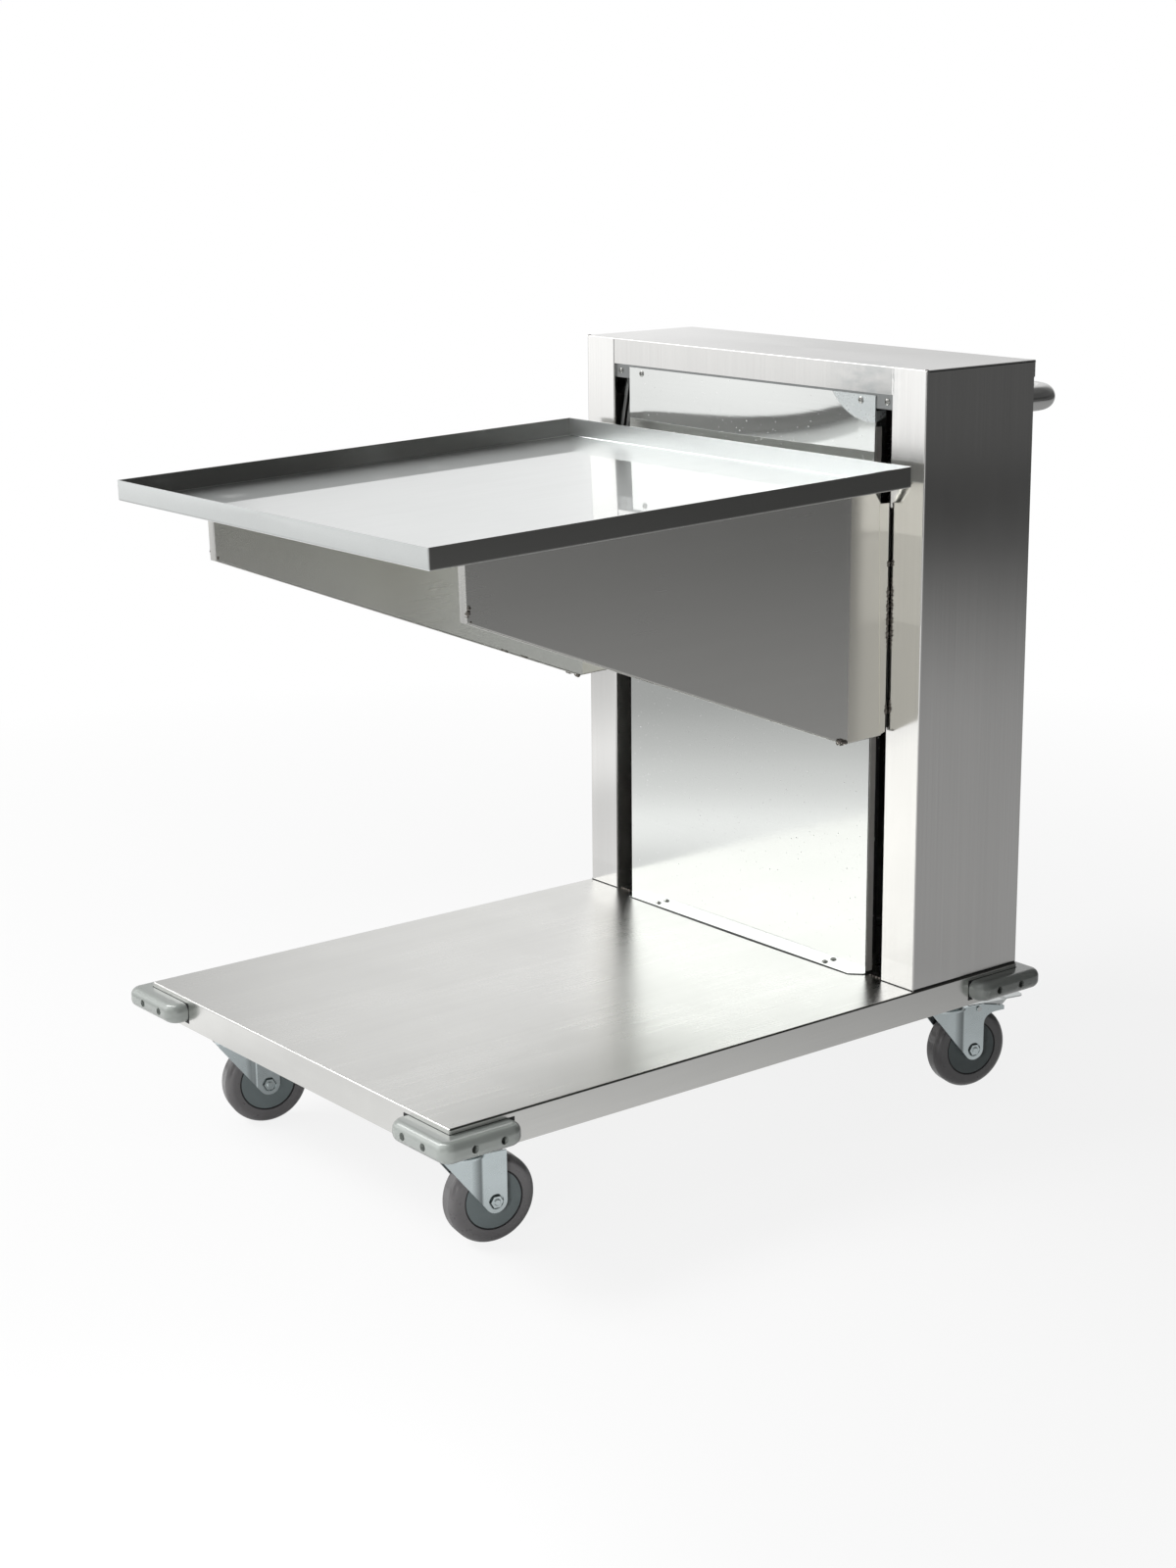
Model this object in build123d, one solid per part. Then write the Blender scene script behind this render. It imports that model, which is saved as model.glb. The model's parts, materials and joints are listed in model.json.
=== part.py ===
"""Tray dispenser trolley: a wheeled deck with a rear tower and a sprung cantilever shelf.

Frame: +X to the right, +Y to the rear, +Z up, in millimetres.
The origin lies on the floor, under the middle of the whole trolley.
"""
import os
from math import acos, atan2, cos, hypot, pi, radians, sin, sqrt, tan

from build123d import *

# Sheet metal
sheet = 1.5
bend_radius = 2.0
seam = 0.4

# Cutting solids run this far past a face, and faces count as level within the tolerance
overcut = 1.0
tolerance = 0.01

# Deck
deck_margin = 2.5
deck_ahead = 658.0
deck_skirt = 36.0
deck_return = 9.0
rail_sheet = 2.5

# Tower
tower_depth = 171.0
tower_height = 712.0
post_width = 53.5
slot_width = 27.75
post_return = 25.0
side_return = 18.0
foot_flange = 12.0
header_height = 31.0
header_return = 2.0
rear_flange = 19.0
cap_round = 1.2
back_screw_inset = 9.0
back_screw_margin = 32.0
back_screws_per_side = 4

# Front cover
cover_sheet = 1.2
cover_width = 432.5
cover_recess = 2.2
cover_gap = 3.0
cover_return = 17.0
cover_foot = 15.5
cover_foot_chamfer = 13.0
cover_foot_screw_inset = 61.25
cover_foot_screw_reach = 7.0
cover_top_screw_inset = 23.25
cover_top_screw_drop = 6.5
cover_rail_drop = 17.0
cover_rail_thickness = 3.0
tab_screw_inset = 10.0

# Small pan-head screws of the panels
screw_radius = 2.0
screw_head_radius = 3.8
screw_head_height = 2.2
screw_grip = 6.0
hole_clearance = 0.15

# Corner bumpers
bumper_reach = 23.0
bumper_arm = 104.0
bumper_height = 23.4
bumper_drop = 6.3
bumper_corner_radius = 15.0
bumper_end_radius = 17.0
bumper_round = 9.5
bumper_hole_near = 38.4
bumper_hole_far = 75.0
bumper_counterbore = 4.4
bumper_seat = 7.0
bumper_bolt_radius = 2.5
bumper_head_radius = 4.0
bumper_head_height = 3.0
bumper_nut_radius = 4.7
bumper_nut_height = 4.0

# Push handle
handle_diameter = 29.0
handle_wall = 1.5
handle_leg_inset = 39.5
handle_reach = 82.0
handle_bend = 38.0
handle_flange_radius = 28.0
handle_flange_thickness = 4.0
handle_flange_gap = 3.0
handle_screw_circle = 21.0
handle_screws_per_flange = 3

# Sprung shelf
shelf_width = 605.0
shelf_depth = 643.5
shelf_lip = 23.2
shelf_gap = 24.8
shelf_below_top = 125.0
shelf_droop = 1.55

# Shelf brackets
bracket_thickness = 12.0
bracket_slot_inset = 3.0
bracket_front_inset = 80.0
bracket_front_height = 71.5
bracket_rear_height = 291.5
bracket_flat = 55.5
bracket_overrun = 7.0
bracket_notch_width = 16.0
bracket_notch_height = 24.0

# Carriage inside the tower
arm_thickness = 5.0
arm_ahead = 58.0
arm_bottom_gap = 6.5
arm_slot_drop = 31.0
arm_rise = 88.0
arm_throat = 30.0
arm_slot_clear = 8.0
arm_upper_depth = 110.0
arm_heel = 70.0
bar_height = 40.0
bar_thickness = 8.0
bar_inset = 56.0
spring_inset = 130.0

# Guide rails and rollers
roller_diameter = 34.0
roller_width = 14.0
roller_round = 1.5
roller_clearance = 0.3
roller_bore_fit = 0.05
roller_axle_radius = 6.0
roller_collar_radius = 9.0
roller_low_rise = 33.0
roller_high_drop = 45.0
rail_wall = 3.0
rail_inset = 80.0
rail_flange = 30.0
rail_stand_off = 14.0
rail_head_room = 10.0
clip_height = 40.0
clip_wall = 2.5
clip_room = 110.0
clips_per_rail = 3

# Lift springs
spring_count = 6
spring_pitch = 50.0
spring_radius = 12.0
spring_wire = 2.5
spring_hook_radius = 9.0
hook_clearance = 0.45
hanger_drop = 12.0
hook_margin = 12.0
buffer_radius = 14.0
buffer_gap = 0.3
low_buffer_height = 21.7
buffer_x = 190.0

# Casters
wheel_diameter = 100.0
tread_width = 28.0
tread_round = 9.0
hub_diameter = 68.0
hub_recess = 0.6
hub_boss_radius = 11.0
groove_width = 1.2
groove_depth = 1.5
fork_sheet = 2.5
fork_clearance = 0.4
gusset_room = 1.0
fork_step = 2.1
fork_foot_radius = 13.0
fork_taper = 4.0
crown_gap = 3.5
crown_radius = 27.0
crown_end = 8.0
crease_start = 14.5
crease_end = 19.0
crease_round = 10.0
gusset_lip = 3.0
trail = 31.0
race_height = 25.5
race_radius = 22.0
race_gap = 0.6
ball_radius = 3.0
ball_circle = 15.0
ball_clearance = 0.1
balls_per_race = 12
plate_thickness = 3.0
plate_length = 95.0
plate_width = 64.0
plate_round = 8.0
plate_bolt_x = 76.0
plate_bolt_y = 44.0
kingpin_radius = 6.0
kingpin_head_radius = 9.0
kingpin_head_height = 5.0
pin_clearance = 0.05
axle_radius = 4.0
axle_sleeve_radius = 6.0
axle_pocket_radius = 8.6
axle_pocket_depth = 1.2
hex_radius = 7.5
hex_height = 6.5
caster_inset_side = 75.6
caster_inset_front = 66.4
caster_inset_rear = 42.0
front_left_swivel = 14.3
front_right_swivel = 10.2
rear_left_swivel = 12.0
rear_right_swivel = 12.8

# Brakes of the rear casters
brake_pivot_back = 5.0
brake_pivot_rise = 1.5
brake_pin_radius = 2.0
brake_pin_head_radius = 3.2
brake_eye = 4.4
brake_sheet = 1.6
brake_gap = 0.4
brake_plate_rise = 5.0
brake_plate_length = 42.0
brake_tongue_dip = 7.0
brake_tongue_run = 8.0
brake_tongue_length = 33.0
brake_tongue_width = 26.0
brake_tongue_round = 6.5
brake_shoe_start = 18.0
brake_shoe_length = 10.0
brake_shoe_gap = 2.0
brake_shoe_width = 18.0
ear_reach = 42.0
ear_height = 5.0
ear_drop = 6.0
ear_throat = 15.6

# Levels and planes worked out from the sizes above
wheel_radius = wheel_diameter / 2
crown_bottom = wheel_diameter + crown_gap
crown_top = crown_bottom + fork_sheet
plate_bottom = crown_top + race_height
skirt_bottom = plate_bottom + plate_thickness
deck_top = skirt_bottom + deck_skirt
tower_top_z = deck_top + tower_height
cap_underside = tower_top_z - sheet
overall_length = bumper_reach + deck_ahead + tower_depth + handle_reach + handle_diameter / 2
deck_front = bumper_reach - overall_length / 2
tower_front = deck_front + deck_ahead
tower_rear = tower_front + tower_depth
half_cover = cover_width / 2
slot_edge = half_cover + slot_width
half_tower = slot_edge + post_width
half_deck = half_tower + deck_margin
header_bottom = tower_top_z - header_height
cover_face = tower_front + cover_recess
cover_top = header_bottom - cover_gap
shelf_rear = tower_front - shelf_gap
shelf_height = tower_height - shelf_below_top
shelf_bottom = deck_top + shelf_height
bracket_centre = slot_edge - bracket_slot_inset
bracket_inner = bracket_centre - bracket_thickness / 2
bracket_outer = bracket_centre + bracket_thickness / 2
arm_inner = bracket_inner + sheet
arm_outer = arm_inner + arm_thickness
arm_bottom = shelf_height - bracket_rear_height + arm_bottom_gap
arm_lower_top = arm_bottom + arm_heel
arm_slot_top = shelf_height - arm_slot_drop
arm_top = shelf_height + arm_rise
roller_low = arm_bottom + roller_low_rise
roller_high = arm_top - roller_high_drop
rail_web = half_tower - sheet - rail_stand_off
rail_open = rail_web - rail_flange
rail_y = tower_front + rail_inset
rail_half = roller_diameter / 2 + roller_clearance + rail_wall
rail_top = cap_underside - rail_head_room
roller_x = (rail_open + rail_web - rail_wall) / 2
spring_y = tower_front + spring_inset
hanger_top = tower_height - hanger_drop
hanger_hole = deck_top + hanger_top - bar_height + hook_margin
carriage_hole = deck_top + arm_bottom + bar_height - hook_margin
hook_sag = spring_hook_radius - sqrt(spring_hook_radius ** 2 - (bar_thickness / 2) ** 2)
spring_hole_radius = spring_wire / 2 + hook_sag + hook_clearance
handle_leg = half_tower - handle_leg_inset
handle_z = tower_top_z - rear_flange - handle_flange_gap - handle_flange_radius
hub_half = tread_width / 2 - hub_recess
race_middle = crown_top + race_height / 2
brake_pivot = (trail + brake_pivot_back, wheel_diameter + brake_pivot_rise)
gusset_inner = tread_width / 2 + fork_clearance + gusset_room
leg_inner = gusset_inner + fork_step
leg_outer = leg_inner + fork_sheet
boss_half = leg_inner - fork_clearance

nodes = {}


# Basic solids
def block(x, y, z):
    """Box between the low and high limits given for each axis."""
    size = [limits[1] - limits[0] for limits in (x, y, z)]
    centre = [(limits[1] + limits[0]) / 2 for limits in (x, y, z)]
    return Pos(*centre) * Box(*size)


def rod_x(x, y, z, radius):
    """Round bar along X between two limits."""
    return Pos((x[0] + x[1]) / 2, y, z) * Rot(0, 90, 0) * Cylinder(radius, x[1] - x[0])


def rod_y(x, y, z, radius):
    """Round bar along Y between two limits."""
    return Pos(x, (y[0] + y[1]) / 2, z) * Rot(90, 0, 0) * Cylinder(radius, y[1] - y[0])


def rod_z(x, y, z, radius):
    """Round bar along Z between two limits."""
    return Pos(x, y, (z[0] + z[1]) / 2) * Cylinder(radius, z[1] - z[0])


def hexagon_z(x, y, z, radius):
    """Upright six-sided prism between two heights."""
    return Pos(x, y, z[0]) * extrude(RegularPolygon(radius, 6), z[1] - z[0])


def plate_yz(points, x):
    """Plate cut to an outline of (y, z) points, between two X limits."""
    outline = Plane.YZ.offset(x[0]) * make_face(Polyline(*points, close=True))
    return extrude(outline, x[1] - x[0])


def mirrored(shape):
    """The same piece on the left-hand side."""
    return mirror(shape, about=Plane.YZ)


def pan_screw(position, direction):
    """Pan-head panel screw; position is under the head, direction points out of the panel."""
    head = rod_z(0, 0, (0, screw_head_height), screw_head_radius)
    head = fillet(head.edges().group_by(Axis.Z)[-1], screw_head_height / 2)
    shank = rod_z(0, 0, (-screw_grip, 0), screw_radius)
    return Plane(origin=position, z_dir=direction) * (head + shank)


def screw_hole(position, direction):
    """Clearance hole for a panel screw, through all that its shank passes."""
    hole = Cylinder(screw_radius + hole_clearance, 2 * screw_grip)
    return Plane(origin=position, z_dir=direction) * hole


# Deck
bumper_corners = [(side, end) for end in (-1, 1) for side in (-1, 1)]


def bumper_fastener_places(side, end):
    """Outer-face point and outward direction of the four screws in one corner bumper."""
    outer_x = side * (half_deck + bumper_reach)
    outer_y = deck_front - bumper_reach if end < 0 else tower_rear + bumper_reach
    height = deck_top - bumper_drop - bumper_height / 2
    places = []
    for distance in (bumper_hole_near, bumper_hole_far):
        places.append(((outer_x, outer_y - end * distance, height), (side, 0, 0)))
        places.append(((outer_x - side * distance, outer_y, height), (0, end, 0)))
    return places


def make_deck_pan():
    """Folded deck with a skirt all round and a small inward return."""
    pan = block((-half_deck, half_deck), (deck_front, tower_rear), (skirt_bottom, deck_top))
    pan = fillet(pan.edges().group_by(Axis.Z)[-1] + pan.edges().filter_by(Axis.Z), bend_radius)
    inside = half_deck - sheet
    inside_y = (deck_front + sheet, tower_rear - sheet)
    pan -= block((-inside, inside), inside_y, (skirt_bottom + sheet, deck_top - sheet))
    mouth = half_deck - deck_return
    mouth_y = (deck_front + deck_return, tower_rear - deck_return)
    pan -= block((-mouth, mouth), mouth_y, (skirt_bottom - overcut, skirt_bottom + sheet))
    for side, end in bumper_corners:
        for position, direction in bumper_fastener_places(side, end):
            drill = Cylinder(bumper_bolt_radius + hole_clearance, 2 * (bumper_reach + 2 * sheet))
            pan -= Plane(origin=position, z_dir=direction) * drill
    for position in cover_foot_screw_places():
        pan -= screw_hole(position, (0, 0, 1))
    return pan


def make_deck_rail(centre_y):
    """Channel under the deck that carries one pair of casters."""
    half_length = half_deck - deck_return - seam
    half_width = plate_width / 2
    limits_y = (centre_y - half_width, centre_y + half_width)
    rail = block((-half_length, half_length), limits_y, (skirt_bottom, deck_top - sheet))
    inner_y = (limits_y[0] + rail_sheet, limits_y[1] - rail_sheet)
    rail -= block((-half_deck, half_deck), inner_y, (skirt_bottom + rail_sheet, deck_top))
    drill_z = (skirt_bottom - overcut, skirt_bottom + rail_sheet + overcut)
    for side in (-1, 1):
        for x, y in plate_bolts(side * (half_deck - caster_inset_side), centre_y):
            rail -= rod_z(x, y, drill_z, axle_radius + hole_clearance)
    return rail


def make_bumper(side, end):
    """Rounded L-shaped plastic bumper round one deck corner."""
    run = bumper_arm - bumper_reach
    outline = make_face(
        Polyline(
            (-run, 0), (0, 0), (0, -run), (bumper_reach, -run),
            (bumper_reach, bumper_reach), (-run, bumper_reach), close=True,
        )
    )
    corner = outline.vertices().sort_by_distance((bumper_reach, bumper_reach))[0]
    outline = fillet(corner, bumper_corner_radius)
    for tip in ((bumper_reach, -run), (-run, bumper_reach)):
        outline = fillet(outline.vertices().sort_by_distance(tip)[0], bumper_end_radius)
    body = extrude(outline, bumper_height)
    rim = body.edges().group_by(Axis.Z)[-1] + body.edges().group_by(Axis.Z)[0]
    seat = [edge for edge in rim if max(edge.center().X, edge.center().Y) < tolerance]
    body = fillet([edge for edge in rim if edge not in seat], bumper_round)
    if side < 0:
        body = mirrored(body)
    if end < 0:
        body = mirror(body, about=Plane.XZ)
    corner_y = deck_front if end < 0 else tower_rear
    body = Pos(side * half_deck, corner_y, deck_top - bumper_drop - bumper_height) * body
    for position, direction in bumper_fastener_places(side, end):
        plane = Plane(origin=position, z_dir=direction)
        body -= plane * Cylinder(bumper_counterbore, 2 * (bumper_reach - bumper_seat))
        body -= plane * Cylinder(bumper_bolt_radius + hole_clearance, 3 * bumper_reach)
    return body


def make_bumper_screws():
    """Bolts of all four bumpers, sunk in their counterbores, with nuts behind the skirt."""
    bolts = []
    for side, end in bumper_corners:
        for position, direction in bumper_fastener_places(side, end):
            nut_end = -sheet - bumper_nut_height
            bolt = rod_z(0, 0, (bumper_seat, bumper_seat + bumper_head_height), bumper_head_radius)
            bolt += rod_z(0, 0, (nut_end, bumper_seat), bumper_bolt_radius)
            bolt += hexagon_z(0, 0, (nut_end, -sheet), bumper_nut_radius)
            plane = Plane(origin=position, z_dir=direction)
            bolts.append(plane * Pos(0, 0, -bumper_reach) * bolt)
    return bolts


# Tower
def back_screw_places():
    """Screws that hold the back panel to the returns of the two sides."""
    low = deck_top + back_screw_margin
    high = handle_z - handle_flange_radius - back_screw_margin
    step = (high - low) / (back_screws_per_side - 1)
    inset = half_tower - back_screw_inset
    levels = [low + step * k for k in range(back_screws_per_side)]
    return [(side * inset, tower_rear, level) for side in (-1, 1) for level in levels]


def cover_top_screw_places():
    """Screws at the top of the front cover."""
    height = cover_top - cover_top_screw_drop
    x = half_cover - cover_top_screw_inset
    return [(side * x, cover_face, height) for side in (-1, 1)]


def tab_screw_places():
    """Screws in the ends of the cover rail, seen through the slots."""
    height = header_bottom - cover_rail_drop / 2
    return [(side * (slot_edge - tab_screw_inset), cover_face + cover_sheet, height) for side in (-1, 1)]


def cover_foot_screw_places():
    """Screws that hold the cover's foot to the deck."""
    reach = cover_face - cover_foot_screw_reach
    x = half_cover - cover_foot_screw_inset
    return [(side * x, reach, deck_top + cover_sheet) for side in (-1, 1)]


def make_tower_side():
    """Right-hand side of the tower, folded with its front post and its returns."""
    side_y = (tower_front, tower_rear - sheet)
    height = (deck_top, cap_underside)
    side = block((half_tower - sheet, half_tower), side_y, height)
    side += block((slot_edge, half_tower), (tower_front, tower_front + sheet), height)
    side += block((slot_edge, slot_edge + sheet), (tower_front, tower_front + post_return), height)
    side += block((half_tower - side_return, half_tower), (side_y[1] - sheet, side_y[1]), height)
    side += block((half_tower - foot_flange, half_tower), side_y, (deck_top, deck_top + sheet))
    uprights = side.edges().filter_by(Axis.Z)
    front_edges = [edge for edge in uprights if abs(edge.center().Y - tower_front) < tolerance]
    side = fillet(front_edges, bend_radius)
    for position in back_screw_places() + handle_screw_places():
        side -= screw_hole(position, (0, 1, 0))
    return side


def make_tower_top():
    """Top of the tower in one folded sheet with the header and the rear flange."""
    flange_y = (tower_rear, tower_rear + sheet)
    top = block((-half_tower, half_tower), (tower_front, flange_y[1]), (cap_underside, tower_top_z))
    top += block((-half_tower, half_tower), flange_y, (tower_top_z - rear_flange, tower_top_z))
    reach = slot_edge - seam
    top += block((-reach, reach), (tower_front, tower_front + sheet), (header_bottom, tower_top_z))
    lip_y = (tower_front, tower_front + header_return)
    top += block((-reach, reach), lip_y, (header_bottom, header_bottom + sheet))
    front_edges = top.edges().filter_by(Axis.X).group_by(Axis.Y)[0]
    return fillet(front_edges.group_by(Axis.Z)[-1], cap_round)


def make_tower_back():
    """Flat back panel of the tower."""
    back = block((-half_tower, half_tower), (tower_rear - sheet, tower_rear), (deck_top, cap_underside))
    for position in back_screw_places() + handle_screw_places():
        back -= screw_hole(position, (0, 1, 0))
    return back


def make_front_cover():
    """Front cover with side returns and a foot that is bent forward on the deck."""
    half = half_cover
    back = cover_face + cover_sheet
    cover = block((-half, half), (cover_face, back), (deck_top, cover_top))
    return_top = header_bottom - cover_rail_drop - cover_gap
    for side in (-1, 1):
        inner, outer = sorted((side * (half - cover_sheet), side * half))
        cover += block((inner, outer), (cover_face, cover_face + cover_return), (deck_top, return_top))
    foot = make_face(
        Polyline(
            (-half, back), (half, back), (half, cover_face - cover_foot + cover_foot_chamfer),
            (half - cover_foot_chamfer, cover_face - cover_foot),
            (-half + cover_foot_chamfer, cover_face - cover_foot),
            (-half, cover_face - cover_foot + cover_foot_chamfer), close=True,
        )
    )
    cover += Pos(0, 0, deck_top) * extrude(foot, cover_sheet)
    for position in cover_top_screw_places():
        cover -= screw_hole(position, (0, -1, 0))
    for position in cover_foot_screw_places():
        cover -= screw_hole(position, (0, 0, 1))
    return cover


def make_cover_rail():
    """Flat rail between the posts that takes the top screws of the cover."""
    front = cover_face + cover_sheet
    height = (header_bottom - cover_rail_drop, header_bottom - seam)
    rail = block((-slot_edge, slot_edge), (front, front + cover_rail_thickness), height)
    for position in cover_top_screw_places() + tab_screw_places():
        rail -= screw_hole(position, (0, -1, 0))
    return rail


def make_panel_screws():
    """All small pan-head screws of the cover, the rail and the back panel."""
    front = cover_top_screw_places() + tab_screw_places()
    screws = [pan_screw(position, (0, -1, 0)) for position in front]
    screws += [pan_screw(position, (0, 0, 1)) for position in cover_foot_screw_places()]
    screws += [pan_screw(position, (0, 1, 0)) for position in back_screw_places()]
    return screws


# Push handle
def handle_screw_places():
    """Screws through the two round handle flanges, on the back panel's face."""
    places = []
    for side in (-1, 1):
        for k in range(handle_screws_per_flange):
            angle = radians(90 + 360 * k / handle_screws_per_flange)
            x = side * handle_leg + handle_screw_circle * cos(angle)
            places.append((x, tower_rear, handle_z + handle_screw_circle * sin(angle)))
    return places


def make_push_handle():
    """Bent tube with a round flange welded to each end."""
    far = tower_rear + handle_reach
    corners = [(-handle_leg, tower_rear), (-handle_leg, far), (handle_leg, far), (handle_leg, tower_rear)]
    path = FilletPolyline(*[(x, y, handle_z) for x, y in corners], radius=handle_bend)
    start = Plane(origin=path @ 0, z_dir=path % 0)
    handle = sweep(start * Circle(handle_diameter / 2), path=path)
    flange_y = (tower_rear, tower_rear + handle_flange_thickness)
    for side in (-1, 1):
        handle += rod_y(side * handle_leg, flange_y, handle_z, handle_flange_radius)
    handle -= sweep(start * Circle(handle_diameter / 2 - handle_wall), path=path)
    for position in handle_screw_places():
        handle -= screw_hole(position, (0, 1, 0))
    return handle


def make_handle_screws():
    """Screws through the handle flanges into the back panel."""
    screws = []
    for x, y, z in handle_screw_places():
        screws.append(pan_screw((x, y + handle_flange_thickness, z), (0, 1, 0)))
    return screws


# Guide rails and springs in the tower
def make_guide_rail():
    """Right-hand channel in which two rollers of the carriage run."""
    height = (deck_top, rail_top)
    rail = block((rail_open, rail_web), (rail_y - rail_half, rail_y + rail_half), height)
    inner = rail_half - rail_wall
    inner_x = (rail_open - overcut, rail_web - rail_wall)
    rail -= block(inner_x, (rail_y - inner, rail_y + inner), (0, 2 * tower_top_z))
    return rail


def make_rail_clips():
    """Bent clips between the guide rails and the tower sides."""
    clips = []
    low = deck_top + clip_room
    step = (rail_top - clip_room - low) / (clips_per_rail - 1)
    for k in range(clips_per_rail):
        level = low + step * k
        height = (level - clip_height / 2, level + clip_height / 2)
        clip = block((rail_web, half_tower - sheet), (rail_y - rail_half, rail_y + rail_half), height)
        inner_x = (rail_web + clip_wall, half_tower - sheet - clip_wall)
        clip -= block(inner_x, (rail_y - rail_half + clip_wall, rail_y + 2 * rail_half), height)
        clips += [clip, mirrored(clip)]
    return clips


def spring_places():
    """X of each lift spring."""
    return [(k - (spring_count - 1) / 2) * spring_pitch for k in range(spring_count)]


def make_spring_hanger():
    """Bar across the top of the tower from which the springs hang."""
    reach = half_tower - sheet
    limits_y = (spring_y - bar_thickness / 2, spring_y + bar_thickness / 2)
    bar = block((-reach, reach), limits_y, (deck_top + hanger_top - bar_height, deck_top + hanger_top))
    for x in spring_places():
        bar -= rod_y(x, (spring_y - bar_height, spring_y + bar_height), hanger_hole, spring_hole_radius)
    return bar


def make_lift_springs():
    """Extension springs, each a closed coil with a round hook at both ends."""
    hook = Rot(0, 90, 0) * Torus(spring_hook_radius, spring_wire / 2)
    low = carriage_hole + 2 * spring_hook_radius - spring_wire
    high = hanger_hole - 2 * spring_hook_radius + spring_wire
    spring = rod_z(0, 0, (low, high), spring_radius)
    spring -= rod_z(0, 0, (low + spring_wire, high - spring_wire), spring_radius - spring_wire)
    spring += Pos(0, 0, carriage_hole + spring_hook_radius) * hook
    spring += Pos(0, 0, hanger_hole - spring_hook_radius) * hook
    return [Pos(x, spring_y, 0) * spring for x in spring_places()]


def make_stop_buffers():
    """Rubber buffers that end the lift at the top and at the bottom."""
    bar_y = tower_front + bar_inset + bar_thickness / 2
    buffers = []
    for x in (-buffer_x, buffer_x):
        buffers.append(rod_z(x, bar_y, (deck_top + arm_top + buffer_gap, cap_underside), buffer_radius))
        buffers.append(rod_z(x, spring_y, (deck_top, deck_top + low_buffer_height), buffer_radius))
    return buffers


# Sprung shelf and carriage
def drooped(shape):
    """Tip the shelf and its brackets nose-down about the shelf's rear edge."""
    pivot = Pos(0, shelf_rear, shelf_bottom)
    return pivot * Rot(shelf_droop, 0, 0) * pivot.inverse() * shape


def make_shelf_pan():
    """Flat tray shelf with an upturned lip on all four sides."""
    half = shelf_width / 2
    limits_y = (shelf_rear - shelf_depth, shelf_rear)
    pan = block((-half, half), limits_y, (shelf_bottom, shelf_bottom + shelf_lip))
    pan = fillet(pan.edges().group_by(Axis.Z)[0] + pan.edges().filter_by(Axis.Z), bend_radius)
    inner_y = (limits_y[0] + sheet, limits_y[1] - sheet)
    inner_z = (shelf_bottom + sheet, shelf_bottom + shelf_lip + overcut)
    pan -= block((sheet - half, half - sheet), inner_y, inner_z)
    return drooped(pan)


def bracket_outline(wall):
    """Side outline of a bracket, drawn in by a wall at the front and the bottom, open elsewhere."""
    front = shelf_rear - shelf_depth + bracket_front_inset + wall
    rear = shelf_rear + bracket_overrun
    bend_y = rear - bracket_flat
    slope = (bracket_rear_height - bracket_front_height) / (bend_y - front)
    lift = wall * hypot(1, slope)
    open_by = 2 * wall
    return [
        (front, shelf_bottom + open_by),
        (front, shelf_bottom - bracket_front_height - slope * wall + lift),
        (bend_y, shelf_bottom - bracket_rear_height + max(lift, wall)),
        (rear + open_by, shelf_bottom - bracket_rear_height + max(lift, wall)),
        (rear + open_by, shelf_bottom - bracket_notch_height + open_by),
        (rear - bracket_notch_width + open_by, shelf_bottom + open_by),
    ]


def on_bracket_bend(point):
    """Whether an edge with this middle runs along the front, the slope or the flat bottom of a bracket."""
    ahead = point.Y < shelf_rear + bracket_overrun - bracket_notch_width
    return ahead and point.Z < shelf_bottom - tolerance and abs(point.X - bracket_centre) > tolerance


def make_shelf_bracket():
    """Right-hand hollow tapered bracket under the shelf."""
    shell = plate_yz(bracket_outline(0), (bracket_inner, bracket_outer))
    bends = shell.edges().filter_by(lambda edge: on_bracket_bend(edge.center()))
    shell = fillet(bends, bend_radius)
    shell -= plate_yz(bracket_outline(sheet), (bracket_inner + sheet, bracket_outer - sheet))
    return drooped(shell)


def make_arm_plate():
    """Right-hand arm: welded in the bracket, through the slot, up to both rollers."""
    outline = [
        (-arm_ahead, arm_bottom), (-arm_ahead, arm_slot_top), (arm_slot_clear, arm_slot_top),
        (arm_throat, arm_top), (arm_upper_depth, arm_top), (arm_upper_depth, arm_lower_top),
        (spring_inset + bar_thickness, arm_lower_top), (spring_inset + bar_thickness, arm_bottom),
    ]
    points = [(tower_front + y, deck_top + z) for y, z in outline]
    arm = plate_yz(points, (arm_inner, arm_outer))
    for level in (roller_low, roller_high):
        arm -= rod_x((0, half_tower), rail_y, deck_top + level, roller_axle_radius)
    return arm


def make_carriage_bar():
    """Cross bar that joins the tops of the two arms."""
    limits_y = (tower_front + bar_inset, tower_front + bar_inset + bar_thickness)
    return block((-arm_inner, arm_inner), limits_y, (deck_top + arm_top - bar_height, deck_top + arm_top))


def make_spring_bar():
    """Cross bar at the foot of the arms that the springs pull up."""
    limits_y = (spring_y - bar_thickness / 2, spring_y + bar_thickness / 2)
    height = (deck_top + arm_bottom, deck_top + arm_bottom + bar_height)
    bar = block((-arm_inner, arm_inner), limits_y, height)
    for x in spring_places():
        bar -= rod_y(x, (spring_y - bar_height, spring_y + bar_height), carriage_hole, spring_hole_radius)
    return bar


def make_roller_axles():
    """Stub axles of the four guide rollers, each with a collar and an end washer."""
    axles = []
    for level in (roller_low, roller_high):
        height = deck_top + level
        roller_in = roller_x - roller_width / 2 - roller_clearance
        roller_out = roller_x + roller_width / 2 + roller_clearance
        axle = rod_x((arm_inner, roller_out + roller_clearance), rail_y, height, roller_axle_radius)
        axle += rod_x((arm_outer, roller_in), rail_y, height, roller_collar_radius)
        axle += rod_x((roller_out, roller_out + sheet), rail_y, height, roller_collar_radius)
        axles += [axle, mirrored(axle)]
    return axles


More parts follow.
